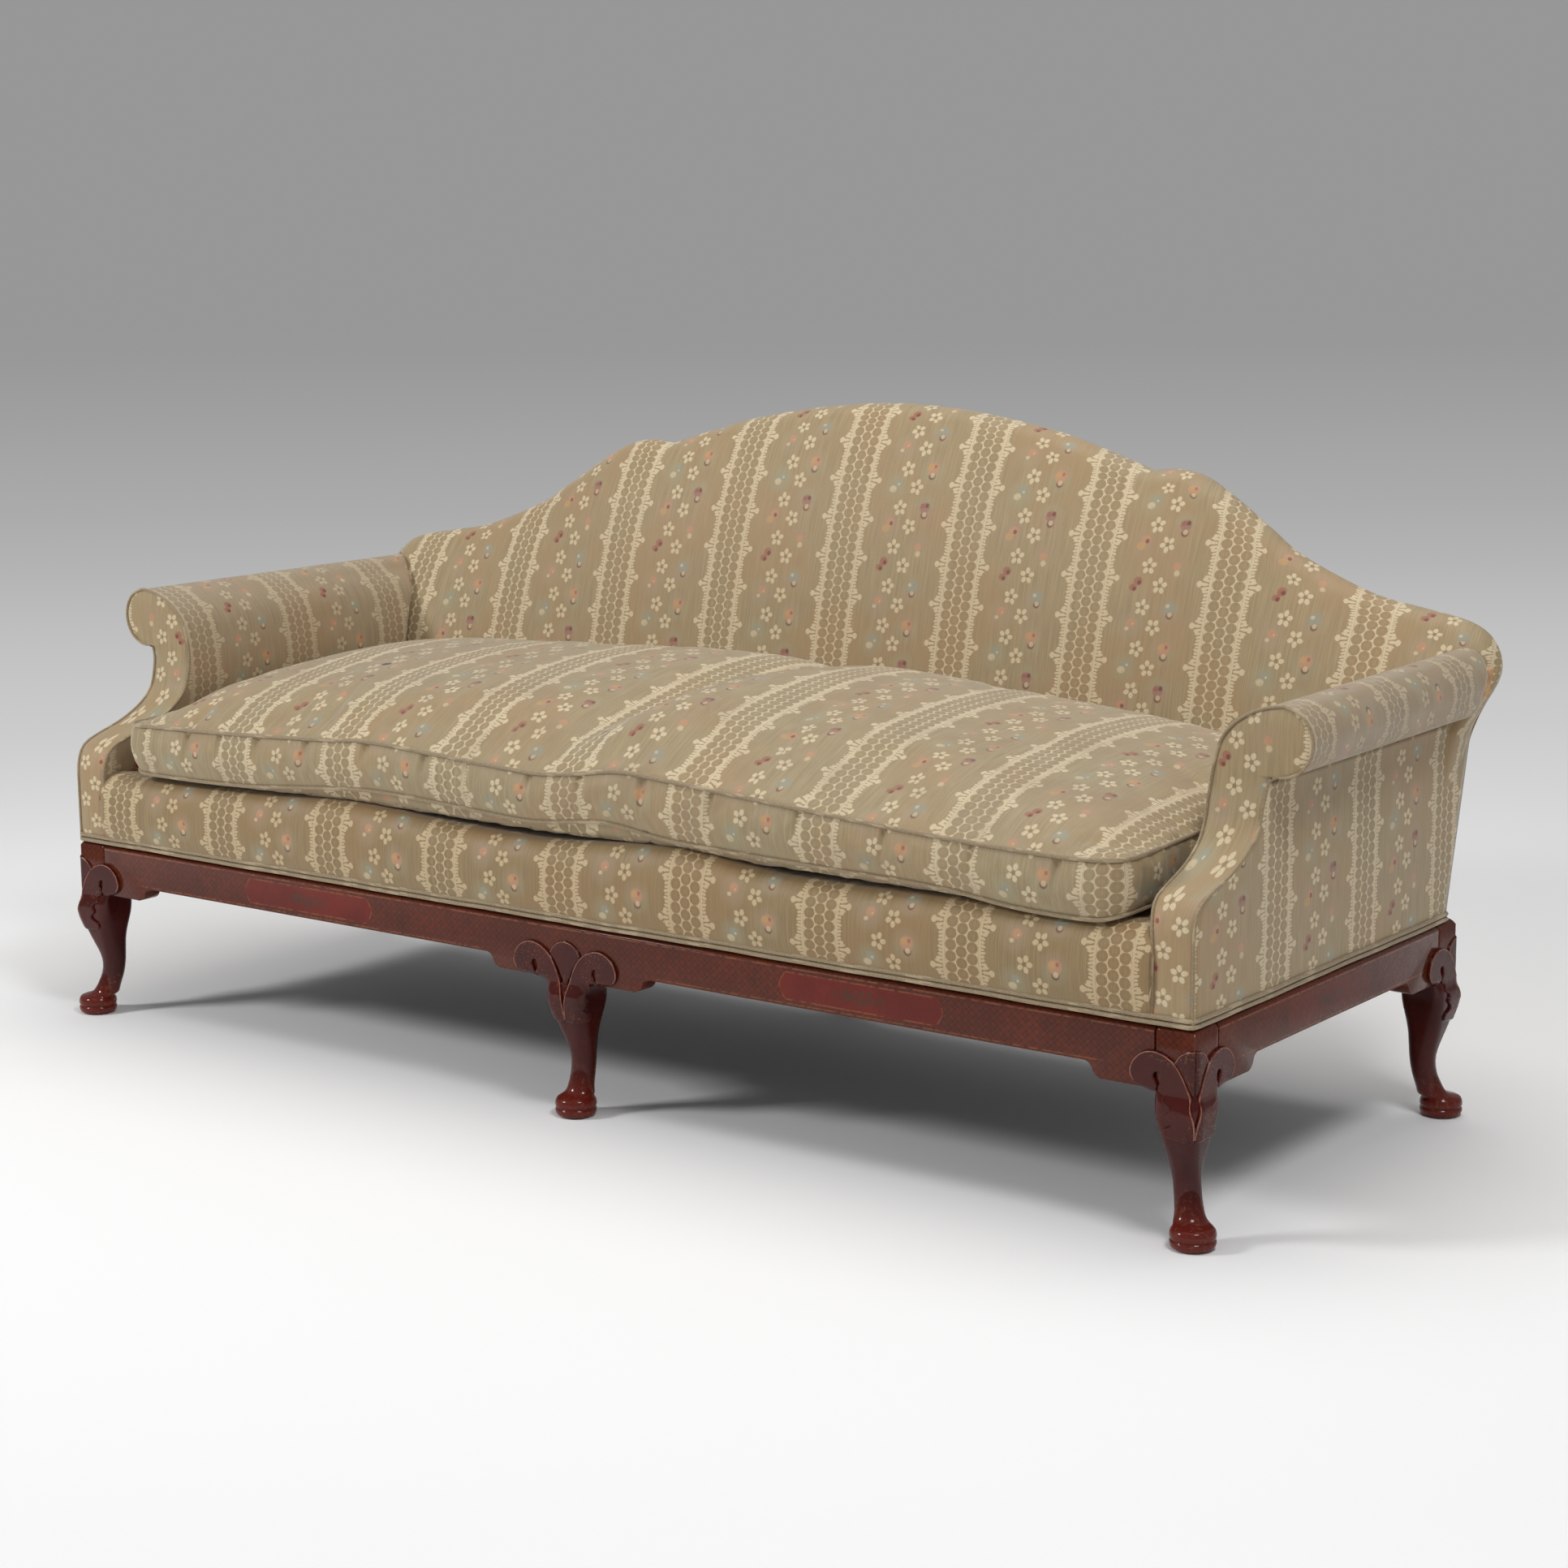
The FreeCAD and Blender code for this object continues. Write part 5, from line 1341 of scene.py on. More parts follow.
def nearest_edge(points):
    """Distance to the outline above the arms, and the roll there, both soft near a corner."""
    edge, share = outline[rolled > 0], rolled[rolled > 0]
    spacing = np.linalg.norm(np.roll(outline, -1, 0) - outline, axis=1)[rolled > 0]
    far = np.empty(len(points))
    amount = np.empty(len(points))
    for k in range(0, len(points), 2000):
        gap = np.linalg.norm(points[k:k + 2000, None] - edge[None], axis=2)
        least = gap.min(1)
        weight = np.exp(-(gap - least[:, None]) / 14) * spacing
        whole = weight.sum(1)
        far[k:k + 2000] = np.maximum(least - 14 * np.log(whole / np.sqrt(88 * least + 784)), 0)
        amount[k:k + 2000] = (weight * share).sum(1) / whole
    return far, amount


def back_rings():
    rings, weave = [], []
    thick = rear_of_back(outline[:, 1]) - front_of_back(outline[:, 1])
    left = thick - ROLL * rolled
    soft_front = np.minimum(22.0, left * 0.55)
    soft_rear = left - soft_front
    inner = outline + inward * 30
    spine = spine_of(outline)
    extra = 9.0
    for share in np.linspace(0.98, 0, 30)[:-1] ** 1.35:
        flat = inner * (1 - share) + spine * share
        far, amount = nearest_edge(flat)
        fade = np.exp(-far / 100)
        depth = ROLL * amount * fade
        belly = 5.0 * np.sin(np.clip((flat[:, 1] - 400) / 500, 0, 1) * math.pi)
        y = front_of_back(flat[:, 1]) + depth - belly * (1 - fade)
        rings.append(np.stack([flat[:, 0], y, flat[:, 1]], -1))
        weave.append(flat - inward * (extra * np.exp(-2 * far / 100))[:, None])
    run = -30.0
    for turn_by in np.linspace(math.pi / 2, 0, 8):
        d = EDGE * (1 - math.cos(turn_by))
        flat = outline + inward * d
        y = front_of_back(flat[:, 1]) + ROLL * rolled * math.exp(-d / 100)
        y = y + soft_front * (1 - math.sin(turn_by))
        ring = np.stack([flat[:, 0], y, flat[:, 1]], -1)
        gone = np.linalg.norm(ring - rings[-1], axis=1)
        rings.append(ring)
        run = run + gone
        weave.append(outline - inward * (run + extra)[:, None])
    for turn_by in np.linspace(0, math.pi / 2, 6)[1:]:
        d = EDGE * 0.6 * (1 - math.cos(turn_by))
        flat = outline + inward * d
        y = rear_of_back(flat[:, 1]) - soft_rear * (1 - math.sin(turn_by)) - 2.0
        ring = np.stack([flat[:, 0], y, flat[:, 1]], -1)
        gone = np.linalg.norm(ring - rings[-1], axis=1)
        rings.append(ring)
        run = run + gone
        weave.append(outline - inward * (run + extra)[:, None])
    for share in np.linspace(0, 0.97, 8):
        flat = inner * (1 - share) + spine * share
        rings.append(np.stack([flat[:, 0], rear_of_back(flat[:, 1]) - 2.0, flat[:, 1]], -1))
        weave.append(flat)
    return closed_round(rings, weave)


rings, weave = back_rings()
STRIPES_OF_BACK = np.array([41.0, -678.0])
back = panel_piece("inside_back", [(rings, weave + STRIPES_OF_BACK)], hole=True)
dress(back, brocade, "brocade", "back_stuffing", "inside_back_cover")
print("back:", len(back.data.polygons), "faces")

# %% [markdown]
# The outside back is a flat panel, turned in and sewn by hand a little inside
# the edge. It is the same brocade, stretched over the frame.

# %% Outside back
def outside_back():
    rings, weave = [], []
    spine = spine_of(outline)
    for d in (7.0, 8.5, 12.0, 30.0):
        flat = outline + inward * d
        lift = 0.3 if d < 8 else (1.6 if d < 10 else 2.2)
        rings.append(np.stack([flat[:, 0], rear_of_back(flat[:, 1]) + lift, flat[:, 1]], -1))
        weave.append(flat)
    inner = outline + inward * 30
    for share in np.linspace(0, 0.97, 9)[1:]:
        flat = inner * (1 - share) + spine * share
        rings.append(np.stack([flat[:, 0], rear_of_back(flat[:, 1]) + 2.2, flat[:, 1]], -1))
        weave.append(flat)
    rings, weave = closed_round(rings, weave)
    piece = panel_piece("outside_back", [(rings, weave + STRIPES_OF_BACK)])
    fill_slits(piece, open_edge=True)
    apply(piece, "SOLIDIFY", thickness=0.0015, offset=-1)
    return piece


rear_panel = outside_back()
dress(rear_panel, brocade, "brocade", "outside_back_cover")

# %% [markdown]
# ### The arms
# One profile makes the whole arm: it leans in above the seat, then rolls out
# over a scroll to a notch, and drops straight to the base. Its front is cut to
# a long S, so the scroll stands back from the seat. The cloth goes from the
# seat over the roll to the notch, and a second panel closes the outside.

# %% Profile of an arm
INNER = [(967, 292), (967, 350), (966.5, 400), (962, 438), (954, 480), (947, 520), (946.5, 556), (951, 592),
         (960, 624), (978, 647), (1000, 662), (1022, 671), (1047, 676)]
SCROLL_X, SCROLL_Z, SCROLL_RADIUS = 1047, 630, 46
scroll = [(SCROLL_X + SCROLL_RADIUS * math.cos(a), SCROLL_Z + SCROLL_RADIUS * math.sin(a))
          for a in np.radians(np.linspace(90, -86, 22))]
over = np.vstack([through(INNER, 60)[:-1], scroll, [(1044, 584.6), (1039.5, 584.6)]])
down = through([(1039.5, 584.6), (1034, 582), (1030.5, 574), (1027.5, 556), (1026, 530), (1026, 480),
                (1026, 400), (1026, 292)], 46)
FRONT_S = [(-4, 288), (-4, 404), (-2, 418), (3, 433), (13, 445), (30, 453), (60, 462), (91, 472), (118, 484),
           (138, 496), (152, 509), (162, 524), (168, 545), (173, 568), (174.5, 600), (174.5, 676)]


front_line = through(FRONT_S, 200)


def smooth_front(z):
    """How far back the arm's front face is at a height."""
    return np.interp(z, front_line[:, 1], front_line[:, 0])


def inward_of(profile):
    """Which way is into the arm, at each point of its profile."""
    way = np.gradient(profile, axis=0)
    way /= np.maximum(np.linalg.norm(way, axis=1), 1e-9)[:, None]
    return np.stack([way[:, 1], -way[:, 0]], -1)


def meets_back(profile):
    """How far back the arm's cloth reaches the back's cloth."""
    far, amount = nearest_edge(profile)
    return front_of_back(profile[:, 1]) + ROLL * amount * np.exp(-far / 100)


GROOVE, FLARE = 19, 22.0


def swept(profile, front_gap, steps, rear=None, pitch=223.0, bulge=0.0):
    """A profile swept from the arm's front face to the back, and its cloth places.

    An inside arm is drawn in where it meets the back, so a groove is left there."""
    run = run_of(profile)
    grid, weave = [], []
    stages = [(share, 0.0, 0.0) for share in np.linspace(0, 1, steps)]
    if rear is None:
        end, into = meets_back(profile) - GROOVE, inward_of(profile)
        stages += [(1, 5.0, 1.0), (1, 9.0, 4.0), (1, 12.0, 9.0), (1, 15.0, 15.0), (1, 40.0, 19.0)]
    else:
        end, into = rear(profile[:, 1]) - 1, np.zeros_like(profile)
    for share, beyond, deep in stages:
        y0 = smooth_front(profile[:, 1]) + front_gap
        y = y0 + (end - y0) * share + beyond
        flare = FLARE * np.clip((profile[:, 1] - 575) / 40, 0, 1) * np.clip((profile[:, 0] - 990) / 50, 0, 1)
        flare = flare * np.clip((y - 175) / 560, 0, 1)
        out = bulge * np.sin(np.clip((y - 20) / 680, 0, 1) * math.pi) * np.sin(
            np.clip((profile[:, 1] - 292) / 292, 0, 1) * math.pi)
        grid.append(np.stack([profile[:, 0] - flare + out + into[:, 0] * deep, y,
                              profile[:, 1] + into[:, 1] * deep], -1))
        weave.append(np.stack([(y - 207) * STRIPE / pitch, run], -1))
    return np.array(grid), np.array(weave)


print("arm profile:", round(float(run_of(over)[-1])), "mm over the roll")

# %% Inside arms
def closed_arm(name):
    profile = np.vstack([over, down[1:], [(967, CLOTH_FOOT)]])
    grid, weave = swept(profile, 2.0, 90)
    weave[..., 1] -= 300
    caps = []
    heights = np.clip(profile[:, 1], 320, 630)
    hub = np.stack([np.interp(heights, [320, 560, 600, 630], [996, 988, 1000, 1040]),
                    np.zeros(len(profile)), heights], -1)
    for end in (0, -1):
        stack = []
        for share in np.linspace(0, 0.94, 9):
            ring = grid[end] * (1 - share) + hub * share
            place_at = smooth_front(ring[:, 2]) + 3.0 if end == 0 else front_of_back(ring[:, 2]) + 42
            ring[:, 1] = np.where(share == 0, grid[end][:, 1], place_at)
            stack.append(ring)
        caps.append((np.array(stack), np.repeat(weave[end][None], 9, 0)))
    return panel_piece(name, [(grid, weave)] + caps, hole=True)


for piece, side in zip(pair_of(closed_arm, "arm"), ("right", "left")):
    dress(piece, arm_brocade, "brocade", side + "_arm_stuffing", side + "_arm_cover")
    print(piece.name, len(piece.data.polygons), "faces")

# %% Outside arms
def outside_arm(name):
    grid, weave = swept(down[2:], 1.0, 60, rear=rear_of_back, pitch=247.0, bulge=2.0)
    grid[..., 0] += 1.4
    weave[..., 1] = grid[..., 2] - BASE_TOP
    piece = panel_piece(name, [(grid, weave)])
    apply(piece, "SOLIDIFY", thickness=0.0014, offset=-1)
    return piece


for piece, side in zip(pair_of(outside_arm, "outside_arm"), ("right", "left")):
    side + "_arm_post"
    dress(piece, brocade, "brocade", side + "_outside_arm_cover")
    print(piece.name, flat_area(piece), "square metres")

# %% [markdown]
# ### Facings and their welts
# The facing is one piece of cloth with flowers only, padded a little, on the
# front of the arm. A self welt runs up its inner edge, round the scroll and
# into the notch, and another down its outer edge.

# %% Facings
facing_line = np.vstack([over, down[1:]])


def facing(name):
    loop = np.vstack([facing_line, [(x, CLOTH_FOOT) for x in np.linspace(1020, 973, 9)]])
    spine_z = np.clip(loop[:, 1], 320, 630)
    spine_x = np.interp(spine_z, [320, 400, 480, 560, 600, 630], [996, 996, 990, 988, 1000, 1040])
    spine = np.stack([spine_x, spine_z], -1)
    rings, weave = [], []
    for share in (-0.02, 0.0, 0.03, 0.08, 0.16, 0.28, 0.42, 0.58, 0.75, 0.86, 0.94):
        inset = max(share, 0)
        flat = loop * (1 - inset) + spine * inset
        crown = 5.0 * (1 - (1 - inset) ** 4)
        y = smooth_front(flat[:, 1]) + (3.0 if share < 0 else 1.0) - crown
        rings.append(np.stack([flat[:, 0], y, flat[:, 1]], -1))
        weave.append(np.stack([flat[:, 0] - 1117.0, flat[:, 1] - 305.0], -1))
    piece = panel_piece(name, [closed_round(rings, weave)])
    fill_slits(piece, open_edge=True)
    return piece


def welt(name, line, thick, node, body="frame", closed=False):
    """A cord in a strip of bias-cut cloth, along a line of places in mm. It stands for a node's welts."""
    line = np.array(line, float)
    run = run_of(line)
    ahead = np.gradient(line, axis=0)
    ahead /= np.linalg.norm(ahead, axis=1)[:, None]
    if closed:
        join_way = ahead[0] + ahead[-1]
        ahead[0] = ahead[-1] = join_way / np.linalg.norm(join_way)
    side = np.cross(ahead, (0.21, 0.34, 0.92))
    side /= np.linalg.norm(side, axis=1)[:, None]
    other = np.cross(side, ahead)
    grid, weave = [], []
    for a in np.linspace(0, 2 * math.pi, 11):
        grid.append(line + thick * (side * math.cos(a) + other * math.sin(a)))
        weave.append(np.stack([np.full(len(line), thick * a), run], -1))
    panels = [(np.array(grid), np.array(weave))]
    if not closed:
        for end in (0, -1):
            rim = np.array([g[end] for g in grid])
            panels.append((np.stack([rim, np.repeat(line[end][None], len(rim), 0)]),
                           np.zeros((2, len(rim), 2))))
    return dress(panel_piece(name, panels), shaded_welt_cloth, "welt_brocade", node, body=body)


for piece, side in zip(pair_of(facing, "arm_facing_cloth"), ("right", "left")):
    dress(piece, brocade, "brocade", side + "_arm_facing")
    print(piece.name, len(piece.data.polygons), "faces")

# %% Welts round the facings and under the scrolls
def thinned(line, gap):
    """The same line at even steps of about gap."""
    return evened(line, max(2, int(run_of(line)[-1] / gap)))


def on_facing_edge(line):
    return np.stack([line[:, 0], smooth_front(line[:, 1]) - 0.6, line[:, 1]], -1)


inner_edge = thinned(on_facing_edge(over), 4.0)
outer_edge = thinned(on_facing_edge(down[1:]), 4.0)
steps = np.linspace(0, 1, 120)
under = np.stack([1041.5 - 9.0 * steps, 176 + (front_of_back(584) + 40 - 176) * steps,
                  np.full(120, 582.5)], -1)
for side, way in (("right", 1), ("left", -1)):
    flip = np.array([way, 1, 1])
    for name, line, node in (("inner_facing_welt", inner_edge, "facing_welts"),
                             ("outer_facing_welt", outer_edge, "facing_welts"),
                             ("under_scroll_welt", under, "scroll_welts")):
        welt(side + "_" + name, line * flip, 2.2, node)
print("welts on both arms:", round(float(run_of(inner_edge)[-1])), "mm round each facing's inner edge")

# %% [markdown]
# ### Front border, double welt and deck
# The border below the cushion is stuffed over the spring edge, so it swells
# forward and its top edge waves. Plain platform cloth covers the deck behind
# it. A double welt hides the tacks all round the base.

# %% Front border
WAVY = [(-967, 402), (-893, 402), (-745, 404), (-602, 408), (-429, 414), (-232, 405), (-44, 403), (107, 414),
        (223, 419), (364, 404), (499, 404), (656, 408), (806, 407), (950, 412), (967, 412)]
BORDER_RISE = 117
BORDER = [(-5, 288), (-7.5, 297), (-12.5, 310), (-16.5, 328), (-17.6, 348), (-16, 368), (-10, 387), (0, 399),
          (14, 405), (34, 405), (56, 402), (78, 398)]


def line_at(points, x):
    """The height of a measured line at some places along the sofa."""
    line = through(points, 400)
    return np.interp(x, line[:, 0], line[:, 1])


def front_border():
    x = np.linspace(-967, 967, 300)
    face = through(BORDER, 46)
    back_part = np.array([(78, 396), (60, 394), (30, 392), (8, 380), (3, 340), (0, 300), (-5, 288)], float)
    section = np.vstack([face, back_part])
    run = run_of(section)
    top = line_at(WAVY, x)
    grid = np.empty((len(section), len(x), 3))
    weave = np.empty((len(section), len(x), 2))
    for k, (y, z) in enumerate(section):
        tuck = np.clip((np.abs(x) - 950) / 17, 0, 1) ** 2 * 3.0
        rise = (z - BASE_TOP) * (top - BASE_TOP) / BORDER_RISE
        grid[k] = np.stack([x, y + tuck * (y < 2), BASE_TOP + rise], -1)
        weave[k] = np.stack([x, np.full(len(x), run[k] - 95)], -1)
    ends = []
    for end in (0, -1):
        rim, cloth = grid[:, end], weave[:, end]
        hub = np.repeat(rim.mean(0)[None], len(rim), 0)
        ends.append((np.stack([rim, hub]), np.stack([cloth, cloth])))
    return panel_piece("front_border", [(grid, weave)] + ends)


border = front_border()
# The border wears the darker brocade: painted shade under the cushion's overhang.
dress(border, border_brocade_in_painted_shade, "brocade", "front_border_stuffing", "front_border_cover")

for name, low in (("lower_base_welt", 291.6), ("upper_base_welt", 299.2)):
    turn_line = np.array([(-1028.5, 722), (-1028.5, -7.5), (1028.5, -7.5), (1028.5, 722),
                          (-1028.5, 722)], float)
    soft = []
    for a, b in zip(turn_line[:-1], turn_line[1:]):
        way = (b - a) / np.linalg.norm(b - a)
        soft += [a + way * 6, b - way * 6]
    soft.append(soft[0])
    edge = thinned(np.array(soft), 6.0)
    edge = np.vstack([edge[:-1], edge[:1]])
    wave = 0.35 * np.sin(run_of(edge) / 61.0) + 0.25 * np.sin(run_of(edge) / 23.0 + 1.0)
    wave[-1] = wave[0]
    welt(name, np.stack([edge[:, 0], edge[:, 1], low + wave], -1), 3.3, "base_welts", closed=True)
print("front border:", len(border.data.polygons), "faces")

# %% Deck
def pad_between(name, low_x, high_x, low_y, high_y, low_z, high_z, crown, cell=12.0):
    """A thin pad with a crowned top and rounded edges."""
    columns, rows = int((high_x - low_x) / cell), int((high_y - low_y) / cell)
    x, y = np.meshgrid(np.linspace(low_x, high_x, columns), np.linspace(low_y, high_y, rows))
    a = 1 - np.abs(2 * (x - low_x) / (high_x - low_x) - 1) ** 24
    b = 1 - np.abs(2 * (y - low_y) / (high_y - low_y) - 1) ** 14
    ripple = 0.25 * np.sin(x / 37.0 + 0.6 * np.sin(y / 51.0)) * np.sin(y / 43.0)
    top = high_z - crown + crown * np.clip(a * b, 0, 1) ** 0.5 + ripple * a * b
    upper = np.stack([x, y, top], -1)
    lower = np.stack([x, y, np.full_like(x, low_z)], -1)
    cloth = np.stack([x, y], -1)
    sides = [(np.stack([upper[k], lower[k]]), np.stack([cloth[k], cloth[k] + 9]))
             for k in (0, -1, (slice(None), 0), (slice(None), -1))]
    return panel_piece(name, [(upper, cloth), (lower, cloth)] + sides)


deck = pad_between("deck", -965, 965, 64, 662, 397.2, 407.2, 6.0)
dress(deck, platform, "platform_cloth", "deck_cover", "deck_stuffing")
print("deck:", len(deck.data.polygons), "faces")

# %% [markdown]
# ### The loose cushion
# One long feather cushion lies on the deck. Its welts were measured in the
# photograph and wave up and down, its crown is high at the back and a valley
# runs between the two halves. The boxing tucks in under the lower welt.

# %% Lines of the cushion
TOP_WELT = [(-903, 488), (-883, 491), (-655, 499), (-464, 509), (-371, 515), (-201, 508), (-60, 502),
            (16, 507), (105, 520), (207, 516), (443, 502), (640, 492), (826, 488), (927, 492)]
LOW_WELT = [(-903, 421), (-842, 416), (-642, 420), (-400, 440), (-236, 438), (-63, 431), (74, 444),
            (205, 432), (442, 427), (640, 424), (766, 413), (875, 412), (927, 421)]
REAR_WELT = [(-903, 512), (-500, 532), (0, 545), (300, 540), (600, 525), (927, 508)]
PUCKERS = [(-760, 5, 0.3), (-690, 5, 0.5), (-610, 7, 0.4), (-505, 6, 0.35), (-380, 7, 0.55), (-262, 7, 0.5),
           (-180, 5, 0.4), (-60, 6, 0.6), (35, 5, 0.45), (150, 6, 0.35), (270, 5, 0.3), (420, 5, 0.5),
           (560, 4, 0.3), (700, 4, 0.4), (830, 5, 0.35)]
RIPPLES = [(-560, 120, 110, 5), (-300, 210, 90, 4), (360, 150, 120, 5), (610, 330, 130, 5),
           (-740, 360, 120, 4), (190, 400, 80, 3), (760, 120, 90, 4)]
LEFT_END, RIGHT_END, NEAR, FAR, CORNER = -903.0, 927.0, -13.0, 652.0, 40.0


def cushion_loop():
    """The plan of the cushion: a long box with round corners, finer along its front."""
    out = []
    for cx, cy, first in ((RIGHT_END - CORNER, NEAR + CORNER, -90), (RIGHT_END - CORNER, FAR - CORNER, 0),
                          (LEFT_END + CORNER, FAR - CORNER, 90), (LEFT_END + CORNER, NEAR + CORNER, 180)):
        for a in np.radians(np.linspace(first, first + 90, 10)):
            out.append((cx + CORNER * math.cos(a), cy + CORNER * math.sin(a)))
    corners = np.array(out)
    front = np.stack([np.linspace(LEFT_END + CORNER, RIGHT_END - CORNER, 520)[1:-1], np.full(518, NEAR)], -1)
    right_side = thinned(corners[9:11], 11.0)[1:-1]
    rear = thinned(corners[19:21], 11.0)[1:-1]
    left_side = thinned(corners[29:31], 11.0)[1:-1]
    loop = np.vstack([front, corners[:10], right_side, corners[10:20], rear, corners[20:30], left_side,
                      corners[30:]])
    ends = np.abs(loop[:, 0] - (LEFT_END + RIGHT_END) / 2) / 915.0
    depth = np.abs(loop[:, 1] - (NEAR + FAR) / 2) / 332.0
    drawn_x = 7.0 * (1 - depth ** 2) * (ends > 0.93)
    drawn_y = 3.5 * (1 - ends ** 2) * (depth > 0.93)
    loop[:, 0] -= drawn_x * np.sign(loop[:, 0])
    loop[:, 1] -= drawn_y * np.sign(loop[:, 1] - 300)
    return loop


def edge_height(x, y, near_line, far_line):
    t = np.clip((y - NEAR) / (FAR - NEAR), 0, 1)
    t = t * t * (3 - 2 * t) * 0.6 + t * 0.4
    return line_at(near_line, x) * (1 - t) + line_at(far_line, x) * t


def crown_height(x, y):
    """How far the filling lifts the top above its welts."""
    side = np.minimum(x - LEFT_END, RIGHT_END - x).clip(0)
    depth = np.minimum(y - NEAR, FAR - y).clip(0)
    fill = (1 - np.exp(-depth / 95)) * (1 - np.exp(-side / 80)) / 0.97
    high = np.interp(x, [-900, -700, -600, -476, -300, -150, 330, 450, 700, 927],
                     [72, 73, 76, 74, 80, 86, 80, 76, 68, 60])
    valley = -30 + 100 * y / 450
    high = high - 25 * np.exp(-((x - valley) / 62) ** 2)
    high = high + 15 * np.exp(-((x - valley - 125) / 75) ** 2) * np.clip(1 - y / 450, 0, 1)
    for cx, cy, wide, deep in RIPPLES:
        near = np.exp(-((x - cx) / wide) ** 2 - ((y - cy) / 120) ** 2)
        high = high + deep * np.sin((x - cx) / 48.0) * near
    return high * fill


loop = cushion_loop()
print("the cushion's plan has", len(loop), "points")

# %% Surface of the cushion
def puckers(x, y, height):
    """Short creases that the gathered seam draws into the boxing, at a share of its height."""
    out = np.zeros_like(x)
    for cx, wide, low in PUCKERS:
        near = np.exp(-((x - cx - 6 * (height - 0.5)) / wide) ** 2)
        out += near * np.clip((height - low) / (1 - low), 0, 1) * (y < 40)
    return out


def cushion_surface():
    out_way = loop - np.roll(loop, 1, 0)
    out_way = out_way + np.roll(out_way, -1, 0)
    out_way = np.stack([out_way[:, 1], -out_way[:, 0]], -1)
    out_way /= np.linalg.norm(out_way, axis=1)[:, None]
    top_edge = edge_height(loop[:, 0], loop[:, 1], TOP_WELT, REAR_WELT)
    low_edge = edge_height(loop[:, 0], loop[:, 1], LOW_WELT, [(-903, 424), (0, 428), (927, 424)])
    spine = np.stack([np.clip(loop[:, 0], LEFT_END + 330, RIGHT_END - 330), np.full(len(loop), 320.0)], -1)
    top, top_cloth = [], []
    for share in np.linspace(0.98, 0, 44) ** 1.25:
        flat = loop * (1 - share) + spine * share
        z = edge_height(flat[:, 0], flat[:, 1], TOP_WELT, REAR_WELT) + crown_height(flat[:, 0], flat[:, 1])
        off = flat[:, 1] - NEAR
        gather = puckers(flat[:, 0] - 0.3 * off, flat[:, 1] * 0.4, np.exp(-off / 60))
        gather = gather * 4.8 * np.clip(off / 6, 0, 1)
        top.append(np.stack([flat[:, 0], flat[:, 1], z - gather * (share > 0)], -1))
        top_cloth.append(flat)
    side, side_cloth = [], []
    around = run_of(np.vstack([loop, loop[:1]]))[:-1]
    front_middle = np.argmin(np.abs(loop[:, 0]) + 10 * np.abs(loop[:, 1] - NEAR))
    around = around - around[front_middle] + loop[front_middle, 0]
    for q in np.linspace(0, 1, 15):
        swell = 8.0 * math.sin(math.pi * q) ** 0.8 - 7.0 * q ** 2
        dent = puckers(loop[:, 0], loop[:, 1], np.full(len(loop), 1 - q)) * 8.0 * (q > 0)
        flat = loop + out_way * (swell - dent)[:, None]
        side.append(np.stack([flat[:, 0], flat[:, 1], top_edge * (1 - q) + low_edge * q], -1))
        side_cloth.append(np.stack([around, NEAR - (top_edge - low_edge) * q], -1))
    under, under_cloth = [], []
    rest = np.maximum(line_at(WAVY, loop[:, 0]) + 2.0, 410)
    for share in (0.0, 0.012, 0.03, 0.06, 0.1, 0.18, 0.3, 0.45, 0.62, 0.8, 0.97):
        flat = (side[-1][:, :2]) * (1 - share) + spine * share
        far = np.clip((flat[:, 1] - NEAR) / 100, 0, 1)
        floor_here = rest * (1 - far) + 409.4 * far
        drop = 1 - math.exp(-share / 0.035)
        z = side[-1][:, 2] * (1 - drop) + floor_here * drop
        under.append(np.stack([flat[:, 0], flat[:, 1], z], -1))
        under_cloth.append(flat)
    panels = []
    for grid, cloth in ((top, top_cloth), (side, side_cloth), (under, under_cloth)):
        closed, weave = closed_round(grid, cloth)
        weave[..., 0] = (weave[..., 0] - 12) * 1.036
        if grid is side:
            weave[:, -1, 0] = weave[:, -2, 0] + 4.2
        panels.append((closed, weave))
    return panels


def settle(piece, steps=14, most=0.007):
    """Lets the cover, cut 2 per cent too large, find its folds over the filling. Its seams stay."""
    before = np.array([tuple(p.co) for p in piece.data.vertices])
    seams = np.concatenate([place(panels[1][0][0]), place(panels[1][0][-1])])
    tree = KDTree(len(seams))
    for k, point in enumerate(seams):
        tree.insert(point, k)
    tree.balance()
    held = piece.vertex_groups.new(name="held")
    for k, point in enumerate(before):
        gap = tree.find(point)[2]
        below = point[2] < 0.4125
        held.add([k], 1.0 if below or gap < 0.002 else max(0.0, 1.0 - gap / 0.012), "REPLACE")
    only(piece)
    step = piece.modifiers.new("cloth", "CLOTH")
    cloth = step.settings
    cloth.quality = 5
    cloth.mass = 0.25
    cloth.tension_stiffness = cloth.compression_stiffness = 20
    cloth.shear_stiffness = 6
    cloth.bending_stiffness = 0.4
    cloth.vertex_group_mass = "held"
    cloth.shrink_min = -0.02
    cloth.use_pressure = True
    cloth.uniform_pressure_force = 1.5
    cloth.effector_weights.gravity = 0
    step.collision_settings.use_collision = False
    step.collision_settings.use_self_collision = False
    step.point_cache.frame_start, step.point_cache.frame_end = 1, steps
    for k in range(1, steps + 1):
        scene.frame_set(k)
    bpy.ops.object.modifier_apply(modifier=step.name)
    scene.frame_set(1)
    after = np.array([tuple(p.co) for p in piece.data.vertices])
    move = after - before
    far = np.linalg.norm(move, axis=1, keepdims=True)
    capped = move / np.maximum(far, 1e-9) * most * np.tanh(far / most)
    piece.data.vertices.foreach_set("co", (before + capped).ravel())
    piece.data.update()
    print("the cover moved", round(float(far.mean() * 1000), 2), "mm on average")


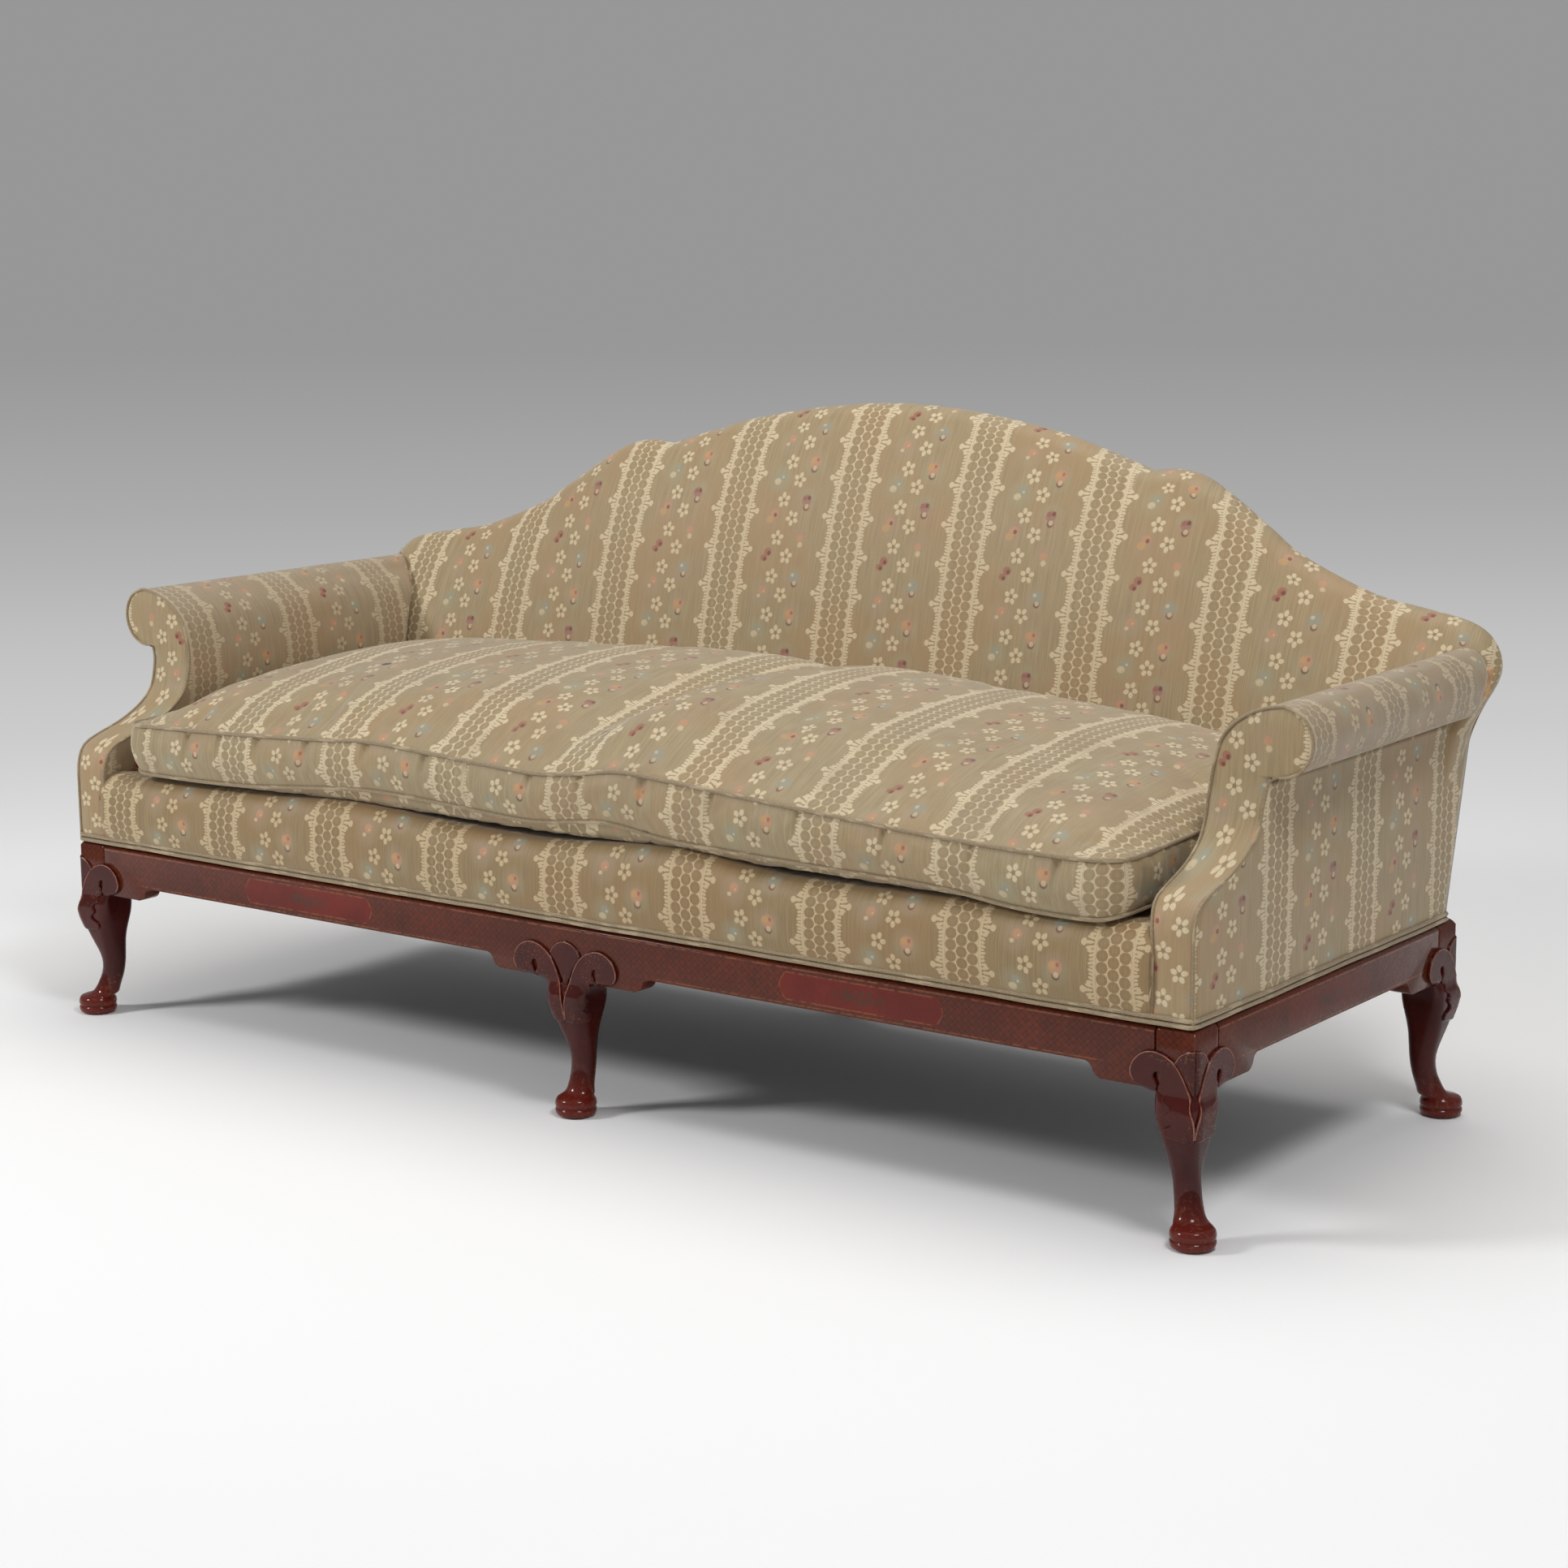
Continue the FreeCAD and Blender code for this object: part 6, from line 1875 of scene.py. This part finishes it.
panels = cushion_surface()
cushion = panel_piece("seat_cushion_cover", panels, hole=True)
settle(cushion)
dress(cushion, cushion_brocade, "brocade", "cushion_filling", "cushion_cover", body="seat_cushion")
boxing = panels[1][0]
for name, ring, height in (("top_cushion_welt", boxing[0], 1.2), ("low_cushion_welt", boxing[-1], -0.6)):
    line = np.vstack([thinned(ring, 5.0)[:-1], ring[:1]])
    line[:, 2] += height
    middle = np.array([(LEFT_END + RIGHT_END) / 2, (NEAR + FAR) / 2])
    out_by = np.sign(line[:, :2] - middle) * (np.abs(line[:, :2] - middle) > np.array([874, 291])) * 1.6
    line[:, :2] += out_by
    welt(name, line, 3.1, "cushion_welts", body="seat_cushion", closed=True)
print("cushion:", len(cushion.data.polygons), "faces")

# %% [markdown]
# ## Inside and underneath
# The webbing, the hessian over the springs and the black cloth underneath are
# thin, so each copy only gets more points and a slight sag.

# %% Webbing, hessian and the cloth underneath
def thin_copy(node, name, finish, slot, sag):
    piece = copy_of(node, name)
    work = bmesh.new()
    work.from_mesh(piece.data)
    for _ in range(4):
        long_edges = [edge for edge in work.edges if edge.calc_length() > 0.03]
        bmesh.ops.subdivide_edges(work, edges=long_edges, cuts=1, use_grid_fill=True)
    bmesh.ops.triangulate(work, faces=[face for face in work.faces if len(face.verts) > 4])
    for vert in work.verts:
        x, y, z = vert.co
        vert.co.z += sag * math.sin(x * 9.0 + 1.0) * math.sin(y * 11.0 + 0.4)
    work.to_mesh(piece.data)
    work.free()
    return dress(piece, finish, slot, node)


crosswise = thin_copy("seat_webbing_crosswise", "crosswise_webbing", jute, "webbing", 0.0002)
lengthwise = thin_copy("seat_webbing_lengthwise", "lengthwise_webbing", jute, "webbing", 0.0002)
back_straps = thin_copy("back_webbing", "back_straps", jute, "webbing", 0.0)
spring_cloth = thin_copy("spring_hessian", "hessian_over_springs", hessian, "hessian", 0.0003)
bottom_cloth = thin_copy("dust_cover", "black_bottom_cloth", black_cotton, "black_cloth", 0.0002)


for piece, size, rests in ((spring_cloth, (1.97, 0.68), ["seat_springs", "edge_wire"]),
                           (bottom_cloth, (2.03, 0.72), ["front_seat_bearer", "rear_seat_bearer"])):
    print(piece.name, "cut", size, "area", flat_area(piece))

# %% Beech, springs and screws keep the shapes of the model
STEEL = {"edge_springs": spring_steel, "seat_springs": spring_steel, "edge_wire": spring_steel,
         "corner_block_screws": screw_steel}
BEECH = ("arm_stay_rails", "arm_top_rails", "back_muntins", "back_stay_rail", "back_stiles",
         "corner_blocks", "crest_rail", "left_arm_post", "right_arm_post", "front_seat_bearer",
         "rear_seat_bearer", "seat_cross_rails", "side_seat_bearers")
for name, finish in {**STEEL, **dict.fromkeys(BEECH, beech)}.items():
    nodes[name].data.materials.clear()
    nodes[name].data.materials.append(finish)
print("inner frame dressed")
